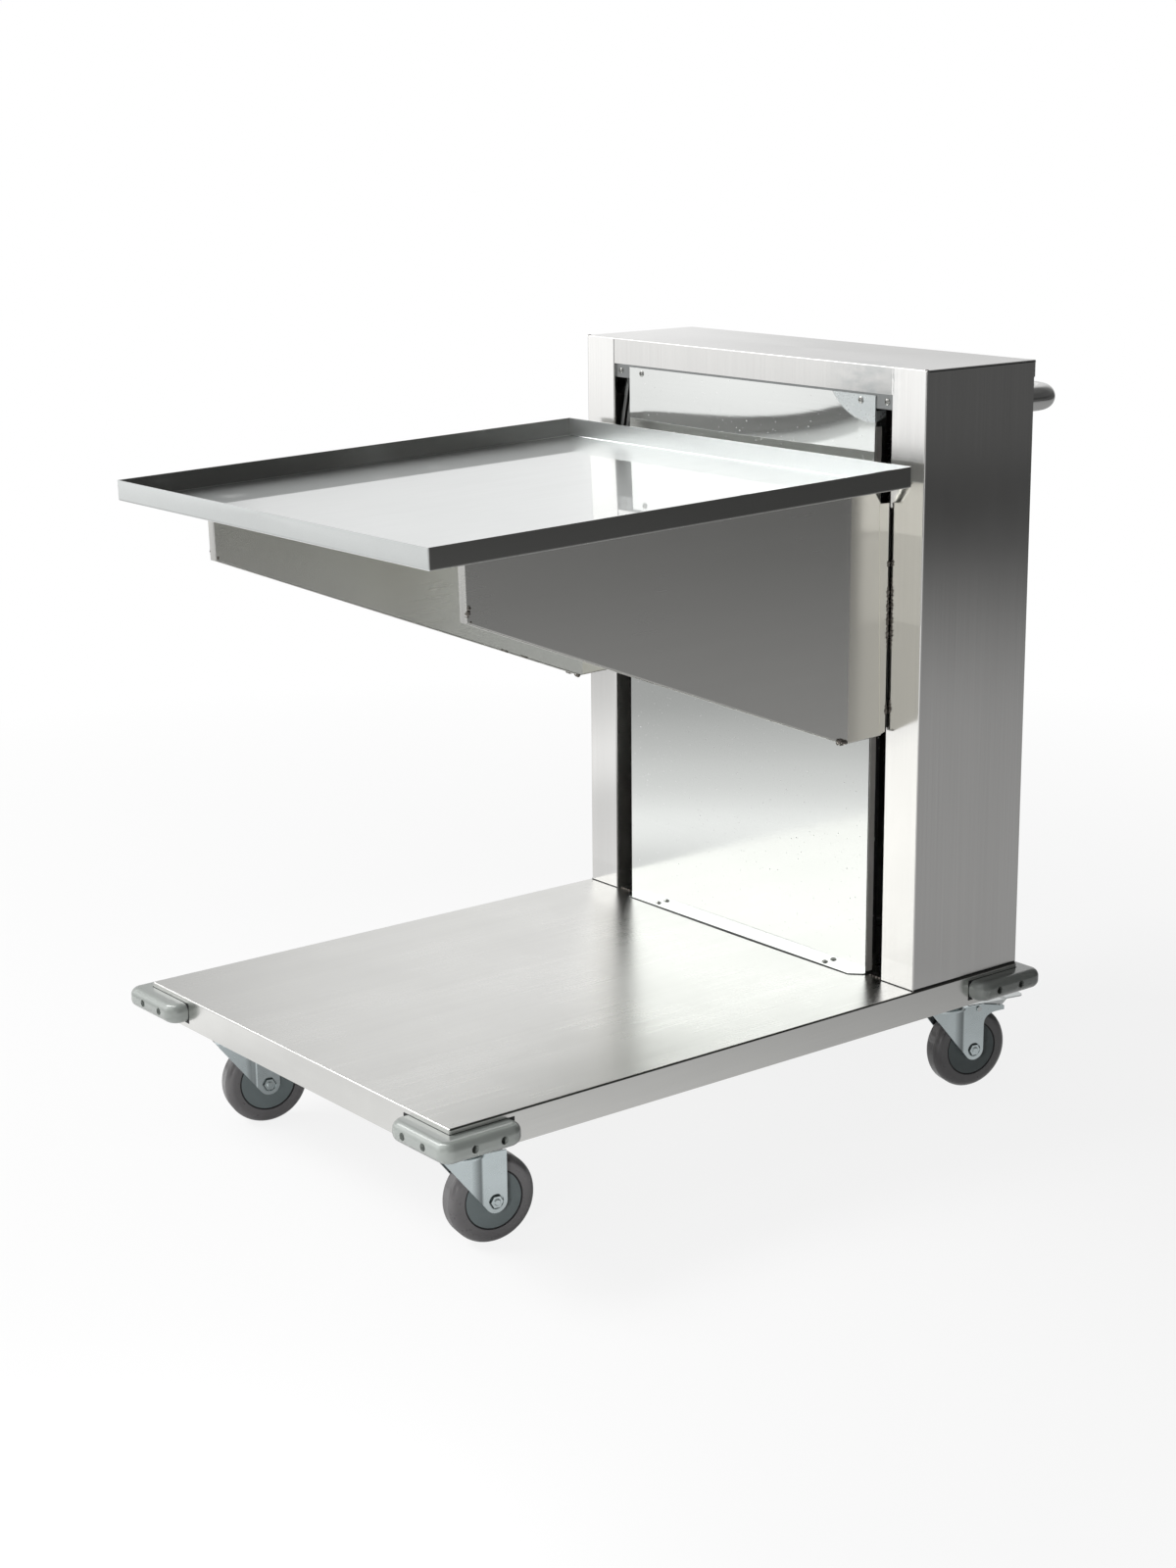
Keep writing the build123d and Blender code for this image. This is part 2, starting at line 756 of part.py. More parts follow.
def make_guide_roller(level):
    """Right-hand guide roller with a plain bore."""
    limits = (roller_x - roller_width / 2, roller_x + roller_width / 2)
    roller = rod_x(limits, rail_y, deck_top + level, roller_diameter / 2)
    roller = fillet(roller.edges(), roller_round)
    bore = roller_axle_radius + roller_bore_fit
    return roller - rod_x((0, half_tower), rail_y, deck_top + level, bore)


# Casters, each drawn about its own kingpin with the wheel trailing towards +Y
def caster_places():
    """Name, kingpin position, swivel at rest and brake of each caster."""
    x = half_deck - caster_inset_side
    front = deck_front + caster_inset_front
    rear = tower_rear - caster_inset_rear
    return [
        ("front_left", -x, front, front_left_swivel, False),
        ("front_right", x, front, front_right_swivel, False),
        ("rear_left", -x, rear, rear_left_swivel, True),
        ("rear_right", x, rear, rear_right_swivel, True),
    ]


def plate_bolts(x, y):
    """Bolt centres of the caster plate at one kingpin."""
    half_x, half_y = plate_bolt_x / 2, plate_bolt_y / 2
    return [(x + i * half_x, y + j * half_y) for i in (-1, 1) for j in (-1, 1)]


def race_groove():
    """Ring groove that leaves room for the swivel balls."""
    return Pos(0, 0, race_middle) * Torus(ball_circle, ball_radius + ball_clearance)


def make_caster_plate():
    """Top plate with the upper half of the swivel race."""
    plate = extrude(RectangleRounded(plate_length, plate_width, plate_round), plate_thickness)
    plate = Pos(0, 0, plate_bottom) * plate
    plate += rod_z(0, 0, (race_middle + race_gap / 2, plate_bottom), race_radius)
    plate -= rod_z(0, 0, (crown_top, deck_top), kingpin_radius)
    plate -= race_groove()
    for x, y in plate_bolts(0, 0):
        plate -= rod_z(x, y, (crown_top, deck_top), axle_radius + hole_clearance)
    return plate


def fork_side_profile(braked):
    """Side outline of a fork as (y, z), from the crown down to the rounded foot."""
    tip_y = -crown_radius
    tip_z = crown_top - gusset_lip
    reach = hypot(trail - tip_y, tip_z - wheel_radius)
    angle = atan2(tip_z - wheel_radius, tip_y - trail) + acos(fork_foot_radius / reach)
    foot = (trail, wheel_radius)

    def on_foot(turn):
        return (foot[0] + fork_foot_radius * cos(turn), foot[1] + fork_foot_radius * sin(turn))

    back = trail + fork_foot_radius
    edges = Polyline((tip_y, crown_top), (tip_y, tip_z), on_foot(angle))
    edges += ThreePointArc(on_foot(angle), on_foot((angle + 2 * pi) / 2), on_foot(2 * pi))
    if not braked:
        return edges + Polyline(on_foot(0), (back, crown_top), (tip_y, crown_top))
    ear_end = trail + ear_reach
    ear_top = crown_top - ear_drop
    ear_bottom = ear_top - ear_height
    throat = (back, ear_bottom - ear_throat)
    edges += Polyline(on_foot(0), throat)
    edges += Spline(throat, (ear_end, ear_bottom), tangents=((0, 1), (1, 0)))
    return edges + Polyline((ear_end, ear_bottom), (ear_end, ear_top), (back, crown_top), (tip_y, crown_top))


def fork_plan():
    """Plan outline of the right-hand fork wall, stepped at the crease."""
    narrowing = (crown_radius + trail - crease_end) * tan(radians(fork_taper))
    outer = leg_outer - fork_step
    far = trail + ear_reach
    return [
        (leg_inner, far), (leg_inner, trail - crease_start), (gusset_inner, trail - crease_end),
        (gusset_inner - narrowing, -crown_radius), (outer - narrowing, -crown_radius),
        (outer, trail - crease_end), (leg_outer, trail - crease_start), (leg_outer, far),
    ]


def make_fork(braked):
    """Pressed fork: two stepped walls under a crown with the lower half of the race."""
    profile = Plane.YZ.offset(-leg_outer) * make_face(fork_side_profile(braked))
    plan = make_face(Polyline(*fork_plan(), close=True))
    for x, radius in ((gusset_inner, crease_round + fork_sheet), (leg_outer - fork_step, crease_round)):
        plan = fillet(plan.vertices().sort_by_distance((x, trail - crease_end))[0], radius)
    wall = extrude(plan, crown_top)
    wall = wall & extrude(profile, 2 * leg_outer)
    crown_rear = trail - crown_end
    crown = rod_z(0, 0, (crown_bottom, crown_top), crown_radius)
    crown -= block((-deck_top, deck_top), (crown_rear, deck_top), (0, deck_top))
    crown += block((-leg_outer, leg_outer), (0, crown_rear), (crown_bottom, crown_top))
    fork = wall + mirrored(wall) + crown
    fork += rod_z(0, 0, (crown_top, race_middle - race_gap / 2), race_radius)
    fork -= rod_z(0, 0, (0, deck_top), kingpin_radius + pin_clearance)
    fork -= race_groove()
    fork -= rod_x((-deck_top, deck_top), trail, wheel_radius, axle_radius + hole_clearance)
    pocket_x = (leg_outer - axle_pocket_depth, leg_outer + overcut)
    pocket = rod_x(pocket_x, trail, wheel_radius, axle_pocket_radius)
    fork -= pocket + mirrored(pocket)
    if braked:
        fork -= rod_x((-deck_top, deck_top), *brake_pivot, brake_pin_radius + pin_clearance)
    return fork


def make_axle_set():
    """Axle bolt with its head, spacer sleeve and nut."""
    seat = leg_outer - axle_pocket_depth
    prism = Rot(0, 90, 0) * extrude(RegularPolygon(hex_radius, 6), hex_height)
    bolt = rod_x((-seat, seat + hex_height + sheet), trail, wheel_radius, axle_radius)
    bolt += Pos(-seat - hex_height, trail, wheel_radius) * prism
    bore = rod_x((-leg_outer, 2 * leg_outer), trail, wheel_radius, axle_radius)
    nut = Pos(seat, trail, wheel_radius) * prism - bore
    sleeve = rod_x((-leg_inner, leg_inner), trail, wheel_radius, axle_sleeve_radius) - bore
    return [bolt, nut, sleeve]


def make_tread():
    """Grey rubber tread with round shoulders."""
    tread = rod_x((-tread_width / 2, tread_width / 2), trail, wheel_radius, wheel_radius)
    tread = fillet(tread.edges().filter_by(GeomType.CIRCLE), tread_round)
    return tread - rod_x((-tread_width, tread_width), trail, wheel_radius, hub_diameter / 2)


def make_hub():
    """Plastic hub disc with a narrow ring groove at its rim and a boss round the axle."""
    rim = hub_diameter / 2
    hub = rod_x((-hub_half, hub_half), trail, wheel_radius, rim)
    for side in (-1, 1):
        limits = sorted((side * (hub_half - groove_depth), side * (hub_half + overcut)))
        ring = rod_x(limits, trail, wheel_radius, rim + overcut)
        hub -= ring - rod_x(limits, trail, wheel_radius, rim - groove_width)
    hub += rod_x((-boss_half, boss_half), trail, wheel_radius, hub_boss_radius)
    return hub - rod_x((-deck_top, deck_top), trail, wheel_radius, axle_sleeve_radius + pin_clearance)


def make_brake_pedal():
    """Stamped brake pedal: two cheeks, a bridge with a shoe, and a tongue for the foot."""
    pivot_y, pivot_z = brake_pivot
    under = wheel_diameter + brake_plate_rise
    over = under + brake_sheet
    start = trail - crown_end + 2 * brake_gap
    end = trail + brake_plate_length
    cheek_out = leg_inner - brake_gap
    eye_z = pivot_z - brake_eye
    eye_y = pivot_y + brake_eye
    outline = [(start, over), (start, eye_z), (eye_y, eye_z), (end, under - brake_sheet), (end, over)]
    cheek = plate_yz(outline, (cheek_out - brake_sheet, cheek_out))
    pedal = cheek + mirrored(cheek)
    pedal += block((-cheek_out, cheek_out), (start, end), (under, over))
    low = under - brake_tongue_dip
    neck = end + brake_tongue_run
    far = end + brake_tongue_length
    tongue = [
        (end - brake_sheet, over), (end - brake_sheet, low), (end + brake_sheet / 2, low), (neck, under),
        (far, under), (far, over), (neck - brake_sheet / 2, over), (end, low + brake_sheet), (end, over),
    ]
    tongue = plate_yz(tongue, (-brake_tongue_width / 2, brake_tongue_width / 2))
    tip = [edge for edge in tongue.edges().filter_by(Axis.Z) if edge.center().Y > neck]
    pedal += fillet(tip, brake_tongue_round)
    shoe_y = (trail + brake_shoe_start, trail + brake_shoe_start + brake_shoe_length)
    tread_height = sqrt(wheel_radius ** 2 - brake_shoe_start ** 2)
    shoe_bottom = wheel_radius + tread_height + brake_shoe_gap
    pedal += block((-brake_shoe_width / 2, brake_shoe_width / 2), shoe_y, (shoe_bottom, over))
    for side in (-1, 1):
        limits = sorted((side * (cheek_out - brake_sheet), side * (leg_outer + brake_gap)))
        pedal += rod_x(limits, pivot_y, pivot_z, brake_pin_radius)
        limits = sorted((side * (leg_outer + brake_gap), side * (leg_outer + brake_gap + sheet)))
        pedal += rod_x(limits, pivot_y, pivot_z, brake_pin_head_radius)
    return pedal


def make_kingpin():
    """Kingpin with its head under the fork crown."""
    head_top = crown_bottom - roller_clearance
    pin = rod_z(0, 0, (head_top - kingpin_head_height, skirt_bottom), kingpin_radius)
    return pin + rod_z(0, 0, (head_top - kingpin_head_height, head_top), kingpin_head_radius)


def make_swivel_balls(x, y):
    """Ball ring of one swivel race."""
    balls = []
    for k in range(balls_per_race):
        angle = 2 * pi * k / balls_per_race
        place = Pos(x + ball_circle * cos(angle), y + ball_circle * sin(angle), race_middle)
        balls.append(place * Sphere(ball_radius))
    return balls


def make_caster_bolts(x, y):
    """Bolts and nuts that hold one caster plate to its deck rail."""
    bolts = []
    head_bottom = plate_bottom - hex_height
    nut_bottom = skirt_bottom + rail_sheet
    for bolt_x, bolt_y in plate_bolts(x, y):
        bolt = rod_z(bolt_x, bolt_y, (head_bottom, nut_bottom + hex_height + sheet), axle_radius)
        bolt += hexagon_z(bolt_x, bolt_y, (head_bottom, plate_bottom), hex_radius)
        bolt += hexagon_z(bolt_x, bolt_y, (nut_bottom, nut_bottom + hex_height), hex_radius)
        bolts.append(bolt)
    return bolts


def build_casters():
    """All four casters, swivelled as they stand."""
    kingpins, balls, bolts = [], [], []
    for name, x, y, swivel, braked in caster_places():
        stand = Pos(x, y, 0)
        turned = stand * Rot(0, 0, -swivel)
        nodes["caster_plate_" + name] = [stand * make_caster_plate()]
        nodes["fork_" + name] = [turned * make_fork(braked)]
        nodes["axle_set_" + name] = [turned * piece for piece in make_axle_set()]
        nodes["wheel_tread_" + name] = [turned * make_tread()]
        nodes["wheel_hub_" + name] = [turned * make_hub()]
        if braked:
            nodes["brake_pedal_" + name] = [turned * make_brake_pedal()]
        kingpins.append(stand * make_kingpin())
        balls += make_swivel_balls(x, y)
        bolts += make_caster_bolts(x, y)
    nodes["kingpins"] = kingpins
    nodes["swivel_balls"] = balls
    nodes["caster_bolts"] = bolts


def build_chassis():
    """Deck, tower, handle and everything fixed inside the tower."""
    nodes["deck_pan"] = [make_deck_pan()]
    nodes["deck_rail_front"] = [make_deck_rail(deck_front + caster_inset_front)]
    nodes["deck_rail_rear"] = [make_deck_rail(tower_rear - caster_inset_rear)]
    for side, end in bumper_corners:
        name = ("front" if end < 0 else "rear") + ("_left" if side < 0 else "_right")
        nodes["corner_bumper_" + name] = [make_bumper(side, end)]
    nodes["bumper_screws"] = make_bumper_screws()
    right_side = make_tower_side()
    nodes["tower_side_right"] = [right_side]
    nodes["tower_side_left"] = [mirrored(right_side)]
    nodes["tower_top"] = [make_tower_top()]
    nodes["tower_back"] = [make_tower_back()]
    nodes["front_cover"] = [make_front_cover()]
    nodes["cover_rail"] = [make_cover_rail()]
    nodes["panel_screws"] = make_panel_screws()
    nodes["push_handle"] = [make_push_handle()]
    nodes["handle_screws"] = make_handle_screws()
    right_rail = make_guide_rail()
    nodes["guide_rail_right"] = [right_rail]
    nodes["guide_rail_left"] = [mirrored(right_rail)]
    nodes["rail_clips"] = make_rail_clips()
    nodes["spring_hanger"] = [make_spring_hanger()]
    nodes["lift_springs"] = make_lift_springs()
    nodes["stop_buffers"] = make_stop_buffers()


def build_carriage():
    """Shelf, brackets, arms, cross bars and guide rollers."""
    nodes["shelf_pan"] = [make_shelf_pan()]
    right_bracket = make_shelf_bracket()
    nodes["shelf_bracket_right"] = [right_bracket]
    nodes["shelf_bracket_left"] = [mirrored(right_bracket)]
    right_arm = make_arm_plate()
    nodes["arm_plate_right"] = [right_arm]
    nodes["arm_plate_left"] = [mirrored(right_arm)]
    nodes["carriage_bar"] = [make_carriage_bar()]
    nodes["spring_bar"] = [make_spring_bar()]
    nodes["roller_axles"] = make_roller_axles()
    for name, level in (("lower", roller_low), ("upper", roller_high)):
        roller = make_guide_roller(level)
        nodes["guide_roller_" + name + "_right"] = [roller]
        nodes["guide_roller_" + name + "_left"] = [mirrored(roller)]


build_chassis()
build_carriage()
build_casters()

os.makedirs("parts", exist_ok=True)
for node_name, pieces in nodes.items():
    solids = [solid for piece in pieces for solid in piece.solids()]
    export_step(Compound(children=solids), os.path.join("parts", node_name + ".step"))
print(len(nodes), "nodes")
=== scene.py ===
# Looks of the tray dispenser trolley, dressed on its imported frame. Lengths are in metres.
import json
from math import cos, pi, radians, sin, tau

import bmesh
import bpy
from mathutils import Matrix, Vector


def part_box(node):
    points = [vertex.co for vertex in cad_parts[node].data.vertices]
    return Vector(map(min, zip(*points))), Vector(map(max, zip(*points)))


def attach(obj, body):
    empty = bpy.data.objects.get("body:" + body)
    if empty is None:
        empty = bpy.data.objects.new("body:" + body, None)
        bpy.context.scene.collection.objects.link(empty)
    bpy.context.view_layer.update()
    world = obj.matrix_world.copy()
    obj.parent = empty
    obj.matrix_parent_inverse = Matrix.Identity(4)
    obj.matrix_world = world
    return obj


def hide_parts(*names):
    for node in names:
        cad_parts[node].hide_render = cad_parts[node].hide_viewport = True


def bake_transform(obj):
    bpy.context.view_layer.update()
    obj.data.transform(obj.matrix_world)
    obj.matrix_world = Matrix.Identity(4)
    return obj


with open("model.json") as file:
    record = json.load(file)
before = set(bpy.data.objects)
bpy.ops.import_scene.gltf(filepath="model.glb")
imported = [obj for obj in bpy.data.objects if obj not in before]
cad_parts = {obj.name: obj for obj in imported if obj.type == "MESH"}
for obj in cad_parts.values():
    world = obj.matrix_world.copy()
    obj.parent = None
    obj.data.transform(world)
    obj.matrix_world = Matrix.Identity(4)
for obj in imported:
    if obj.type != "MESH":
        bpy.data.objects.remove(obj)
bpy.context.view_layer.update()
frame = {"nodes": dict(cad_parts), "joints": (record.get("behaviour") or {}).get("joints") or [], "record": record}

# Camera, from the middle of the tower's foot
camera_offset = Vector((2.3656, -2.1059, 1.0147))
camera_azimuth = radians(51.7346)
camera_elevation = radians(14.6128)
camera_roll = radians(-0.5278)
camera_lens = 61.4755
camera_sensor = 36.0

# Studio walls: brightness by compass direction, in turns from the left wall through the front
low_walls = [
    (0.0, 0.55), (0.05, 0.6), (0.075, 0.9), (0.16, 0.95), (0.21, 0.5), (0.25, 0.25), (0.34, 0.3),
    (0.36, 1.8), (0.388, 1.8), (0.398, 0.08), (0.45, 0.06), (0.65, 0.05), (0.8, 0.1), (0.85, 0.7),
    (0.88, 0.74), (0.8925, 0.95), (0.9, 0.84), (0.9155, 0.79), (0.9175, 0.62), (1.0, 0.62),
]
high_walls = [
    (0.0, 0.55), (0.05, 0.6), (0.075, 1.6), (0.105, 1.9), (0.125, 1.9), (0.16, 1.6), (0.21, 0.6),
    (0.25, 0.4), (0.385, 0.3), (0.4, 0.1), (0.65, 0.08), (0.74, 0.1), (0.8, 0.2), (0.85, 0.7),
    (0.88, 0.78), (0.8925, 1.1), (0.9, 0.95), (0.9155, 0.9), (0.9175, 0.55), (1.0, 0.55),
]
high_wall_rise = (0.11, 0.19)
ceiling_levels = [
    (0.0, 1.3), (0.035, 1.3), (0.042, 13.0), (0.066, 13.0), (0.073, 1.3), (0.22, 1.3), (0.32, 0.5),
    (0.42, 0.15), (0.8, 0.12), (0.9, 0.5), (1.0, 1.3),
]
ceiling_rise = (0.5, 0.75)
ambient_share = 0.1

# Studio floor: brightness in mirrors, by distance along the diagonal from the front left to the rear right
floor_diagonal = (0.7071, 0.7071, 0.0)
floor_reach = (-3.0, 7.0)
floor_levels = [
    (0.0, 0.42), (0.12, 0.42), (0.134, 0.55), (0.15, 0.6), (0.168, 0.75), (0.18, 0.78), (0.1915, 0.92),
    (0.203, 1.08), (0.216, 0.98), (0.224, 0.8), (0.25, 0.87), (0.327, 0.65), (0.361, 0.48), (0.393, 0.34),
    (0.43, 0.35), (0.56, 0.33), (0.66, 0.2), (0.75, 0.08), (0.8, 0.045), (0.86, 0.05), (0.94, 0.1),
    (1.0, 0.1),
]
floor_size = 30.0
floor_colour = (0.84, 0.84, 0.84, 1.0)
floor_roughness = 0.9
floor_glow = 0.86
floor_fade = (1.0, 2.4)
# Painted shadow under the trolley: inside this box the floor's brightness in mirrors falls to the under level
under_centre = (0.0, -0.07, 0.0)
under_half = (0.36, 0.42, 1.0)
under_edge = (0.7, 1.1)
under_level = 0.35

# Studio card at the front left: brightness by height
card_left, card_right = (-3.3, -0.9), (-0.9, -3.3)
card_height = (0.02, 0.97)
card_levels = [
    (0.0, 0.5), (0.115, 0.62), (0.325, 0.9), (0.45, 0.92), (0.61, 1.0), (0.93, 1.35), (1.0, 1.35),
]

# Studio lamps: name, place, the point they face, size and watts
lamps = [
    ("key", (-1.7, -1.9, 2.3), (0.0, 0.0, 0.4), (1.6, 1.2), 95.0),
    ("overhead", (0.3, -0.4, 3.2), (0.0, 0.0, 0.5), (3.0, 3.0), 15.0),
    ("fill", (0.75, -1.15, 0.3), (0.1, -0.45, 0.05), (0.25, 0.25), 4.2),
]

# Places read from the frame
side_low, side_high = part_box("tower_side_right")
deck_low, deck_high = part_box("deck_pan")
cover_low, cover_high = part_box("front_cover")
shelf_low, shelf_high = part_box("shelf_pan")
bracket_low, bracket_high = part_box("shelf_bracket_right")
top_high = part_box("tower_top")[1]
tower_front = side_low.y
deck_top = deck_high.z
corners = ("front_left", "front_right", "rear_left", "rear_right")


def joints_of(start):
    """Joints whose names start so, by the body that they move."""
    return {joint["child"]: joint for joint in frame["joints"] if joint["name"].startswith(start)}


wheel_joints = joints_of("wheel_spin")
swivel_joints = joints_of("caster_swivel")

# Waves a metre in the finishes
brush_waves = (4.0, 700.0)
band_waves = (0.9, 38.0)
haze_waves = 7.0
swell_waves = 4.0
cloud_waves = 60.0
grain_waves = 900.0
mottle_waves = 45.0
skin_waves = 1500.0
scuff_waves = 160.0

# Strength of the marks in the finishes
band_tint = 0.015
brush_share = 0.25
brush_gloss = (-0.015, 0.015)
haze_gloss = (-0.01, 0.025)
steel_anisotropy = 0.5
gloss_coat = {"Coat Roughness": 0.03, "Coat IOR": 1.6}
cloud_tint = (0.9, 1.05)
cloud_gloss = (-0.05, 0.06)
swell_depth = 0.0001
skin_depth = 0.00002
cloud_depth = 0.00004
grain_depth = 0.00001
# Painted shade: how dark the fork's plating is painted along its crease
crease_shade_tint = 0.35
zinc_colour = (0.72, 0.8, 0.815)
zinc_rough = 0.28

# Bends and leans of the folded sheets
# Where the painted shade along each fork's crease starts, and how it ends
fork_crease = (0.004, 0.0135)
fork_crease_end = (0.001, 0.003)
bow_edge = 0.0002
bow_lower = (0.2, 0.6)
bow_upper = (0.7, 0.9)
front_faces = (-0.9, -0.8)
level_faces = (0.4, 0.9)


# Materials
class Graph:
    """Short ways to wire the nodes of a material or a world."""

    def __init__(self, tree):
        self.nodes, self.links = tree.nodes, tree.links

    def feed(self, socket, value):
        """Set a node socket to a plain value, or wire an output into it."""
        if isinstance(value, bpy.types.NodeSocket):
            self.links.new(value, socket)
        else:
            socket.default_value = value

    def add(self, kind, *values, **settings):
        """New node with its settings made and its first sockets fed."""
        node = self.nodes.new("ShaderNode" + kind)
        for name, setting in settings.items():
            setattr(node, name, setting)
        for socket, value in zip(node.inputs, values):
            self.feed(socket, value)
        return node

    def sum(self, first, second, operation="ADD"):
        """Join two numbers."""
        return self.add("Math", first, second, operation=operation).outputs["Value"]

    def vector(self, operation, *values):
        """One vector operation on a place."""
        node = self.add("VectorMath", *values, operation=operation)
        number = operation in ("DISTANCE", "DOT_PRODUCT", "LENGTH")
        return node.outputs["Value" if number else "Vector"]

    def parts(self, vector):
        """The X, Y and Z of a place or a direction."""
        return self.add("SeparateXYZ", vector).outputs

    def spread(self, value, low, high, start=0.3, end=0.7):
        """Stretch a number from the range of start and end to that of low and high."""
        node = self.add("MapRange")
        limits = {"Value": value, "From Min": start, "From Max": end, "To Min": low, "To Max": high}
        for socket, number in limits.items():
            self.feed(node.inputs[socket], number)
        return node.outputs["Result"]

    def mix(self, factor, first, second):
        """Blend two colours."""
        node = self.add("Mix", data_type="RGBA")
        for socket, value in ((0, factor), (6, first), (7, second)):
            self.feed(node.inputs[socket], value)
        return node.outputs[2]

    def blend(self, factor, first, second):
        """Blend two shaders."""
        return self.add("MixShader", factor, first, second).outputs[0]

    def levels(self, value, steps):
        """Grey level that follows a list of (position, brightness)."""
        ramp = self.add("ValToRGB", value)
        stops = ramp.color_ramp.elements
        while len(stops) < len(steps):
            stops.new(0.5)
        for stop, (position, level) in zip(stops, steps):
            stop.position = position
            stop.color = (level, level, level, 1.0)
        return ramp.outputs["Color"]

    def shiny(self, rays):
        """1 for mirror and glass rays."""
        return self.sum(rays["Is Glossy Ray"], rays["Is Transmission Ray"], "MAXIMUM")


class Paint(Graph):
    """Node material with one principled shader and short ways to wire textures into it."""

    def __init__(self, name, sockets):
        self.material = bpy.data.materials.new(name)
        self.material.use_nodes = True
        super().__init__(self.material.node_tree)
        self.shader = self.nodes["Principled BSDF"]
        self.place = self.add("TexCoord").outputs["Object"]
        for socket, value in sockets.items():
            self.shade(socket, value)

    def shade(self, socket, value):
        """Set a socket of the principled shader, or wire a texture into it."""
        self.feed(self.shader.inputs[socket], value)

    def noise(self, stretch, detail=3.0, soft=0.5):
        """Noise from 0 to 1 with so many waves a metre along each axis."""
        mapping = self.add("Mapping", self.place)
        mapping.inputs["Scale"].default_value = stretch
        texture = self.add("TexNoise", mapping.outputs["Vector"])
        for socket, value in (("Scale", 1.0), ("Detail", detail), ("Roughness", soft)):
            texture.inputs[socket].default_value = value
        return texture.outputs[0]

    def near(self, point, reach, edge):
        """1 within reach of a point, falling to 0 over an edge."""
        distance = self.vector("DISTANCE", self.place, point)
        return self.spread(distance, 1.0, 0.0, reach - edge / 2, reach + edge / 2)

    def past(self, axis, start, end):
        """0 up to a start along an axis, 1 from an end on."""
        return self.spread(self.at()[axis], 0.0, 1.0, start, end)

    def level(self):
        """1 on level faces and 0 on upright ones."""
        return self.spread(self.facing()["Z"], 0.0, 1.0, *level_faces)

    def facing(self):
        """Parts of the direction a face looks in."""
        return self.parts(self.add("NewGeometry").outputs["True Normal"])

    def at(self):
        """Parts of the place."""
        return self.parts(self.place)

    def bow(self, inner, outer, lower, upper):
        """Height in metres that leans the lower and upper part of a front face.

        It acts beyond an inner edge, or in a bulge round the middle that ends at an outer edge.
        """
        place = self.at()
        if inner:
            wide = self.spread(self.sum(place["X"], 0.0, "ABSOLUTE"), 0.0, 1.0, inner - bow_edge, inner)
        else:
            wide = self.spread(self.sum(place["X"], 2.0, "POWER"), 1.0, 0.0, 0.0, outer ** 2)
        front = self.spread(self.facing()["Y"], 1.0, 0.0, *front_faces)
        low = self.spread(place["Z"], 0.0, lower * (bow_lower[1] - bow_lower[0]), *bow_lower)
        high = self.spread(place["Z"], 0.0, upper * (bow_upper[1] - bow_upper[0]), *bow_upper)
        return self.sum(self.sum(wide, front, "MULTIPLY"), self.sum(low, high), "MULTIPLY")

    def bump(self, height, depth, under=None):
        """Raise a texture by a depth in metres, on top of another bump."""
        node = self.add("Bump")
        for socket, value in (("Strength", 1.0), ("Distance", depth), ("Height", height)):
            self.feed(node.inputs[socket], value)
        if under is not None:
            self.feed(node.inputs["Normal"], under)
        return node.outputs["Normal"]

    def tangent(self, axis):
        """Stretch highlights across the grain that runs along an axis."""
        node = self.add("Tangent", direction_type="RADIAL", axis=axis)
        self.shade("Tangent", node.outputs["Tangent"])


def tinted(colour, factor):
    """A colour made lighter or darker."""
    return tuple(channel * factor for channel in colour) + (1.0,)


def banded(paint, texture, colour, dark, light):
    """A colour that a texture makes darker and lighter."""
    return paint.mix(paint.spread(texture, 0.0, 1.0), tinted(colour, dark), tinted(colour, light))


def even(waves):
    """The same waves a metre along each axis."""
    return (waves, waves, waves)


def along(grain, slow, fast):
    """Waves a metre that run slowly along the grain and fast across it."""
    return tuple(slow if axis == grain else fast for axis in "XYZ")


def steel(
    name, grain, colour, rough, streak=0.14, fine=0.000003, grit=1.0, stains_and_shades=(), lips=None, coat=0.0,
    bow=None,
):
    """Brushed stainless sheet: brush lines, belt bands, handling haze, a slight wave, local stains and painted
    light and shade.

    Each stain, and each patch of painted light and shade, is (mask maker, tint, added roughness, chalk), where
    chalk is the share no longer bare.
    Lips is the roughness of the upright faces, coat the share of a clear gloss, and bow the (inner edge,
    outer edge, lower slope, upper slope) of a front face.
    """
    sockets = {"Metallic": 1.0, "Anisotropic": steel_anisotropy, "Coat Weight": coat}
    paint = Paint(name, {**sockets, **gloss_coat})
    lines = paint.noise(along(grain, *brush_waves), detail=2.0)
    bands = paint.noise(along(grain, *band_waves), detail=3.0)
    haze = paint.noise(even(haze_waves), detail=4.0, soft=0.6)
    swell = paint.noise(even(swell_waves), detail=1.0)
    shade = banded(paint, bands, colour, 1 - band_tint, 1 + band_tint)
    shade = paint.mix(paint.spread(lines, 0.0, brush_share), shade, tinted(colour, 1 - streak))
    brushed = paint.spread(lines, *(grit * limit for limit in brush_gloss))
    handled = paint.spread(haze, *(grit * limit for limit in haze_gloss))
    gloss = paint.sum(paint.sum(brushed, handled), rough)
    if lips is not None:
        gloss = paint.sum(gloss, paint.sum(paint.level(), lips - rough, "MULTIPLY"), "SUBTRACT")
        gloss = paint.sum(gloss, lips - rough)
    bare = None
    for mask, tint, dulling, chalk in stains_and_shades:
        cover = mask(paint)
        shade = paint.mix(cover, shade, tint)
        gloss = paint.sum(gloss, paint.sum(cover, dulling, "MULTIPLY"))
        if chalk:
            worn = paint.spread(cover, 1.0, 1 - chalk, 0.0, 1.0)
            bare = worn if bare is None else paint.sum(bare, worn, "MINIMUM")
    if bare is not None:
        paint.shade("Metallic", bare)
    paint.shade("Base Color", shade)
    paint.shade("Roughness", gloss)
    relief = paint.bump(swell, swell_depth)
    if bow:
        relief = paint.bump(paint.bow(*bow), 1.0, relief)
    paint.shade("Normal", paint.bump(lines, fine, relief))
    paint.tangent(grain)
    return paint.material


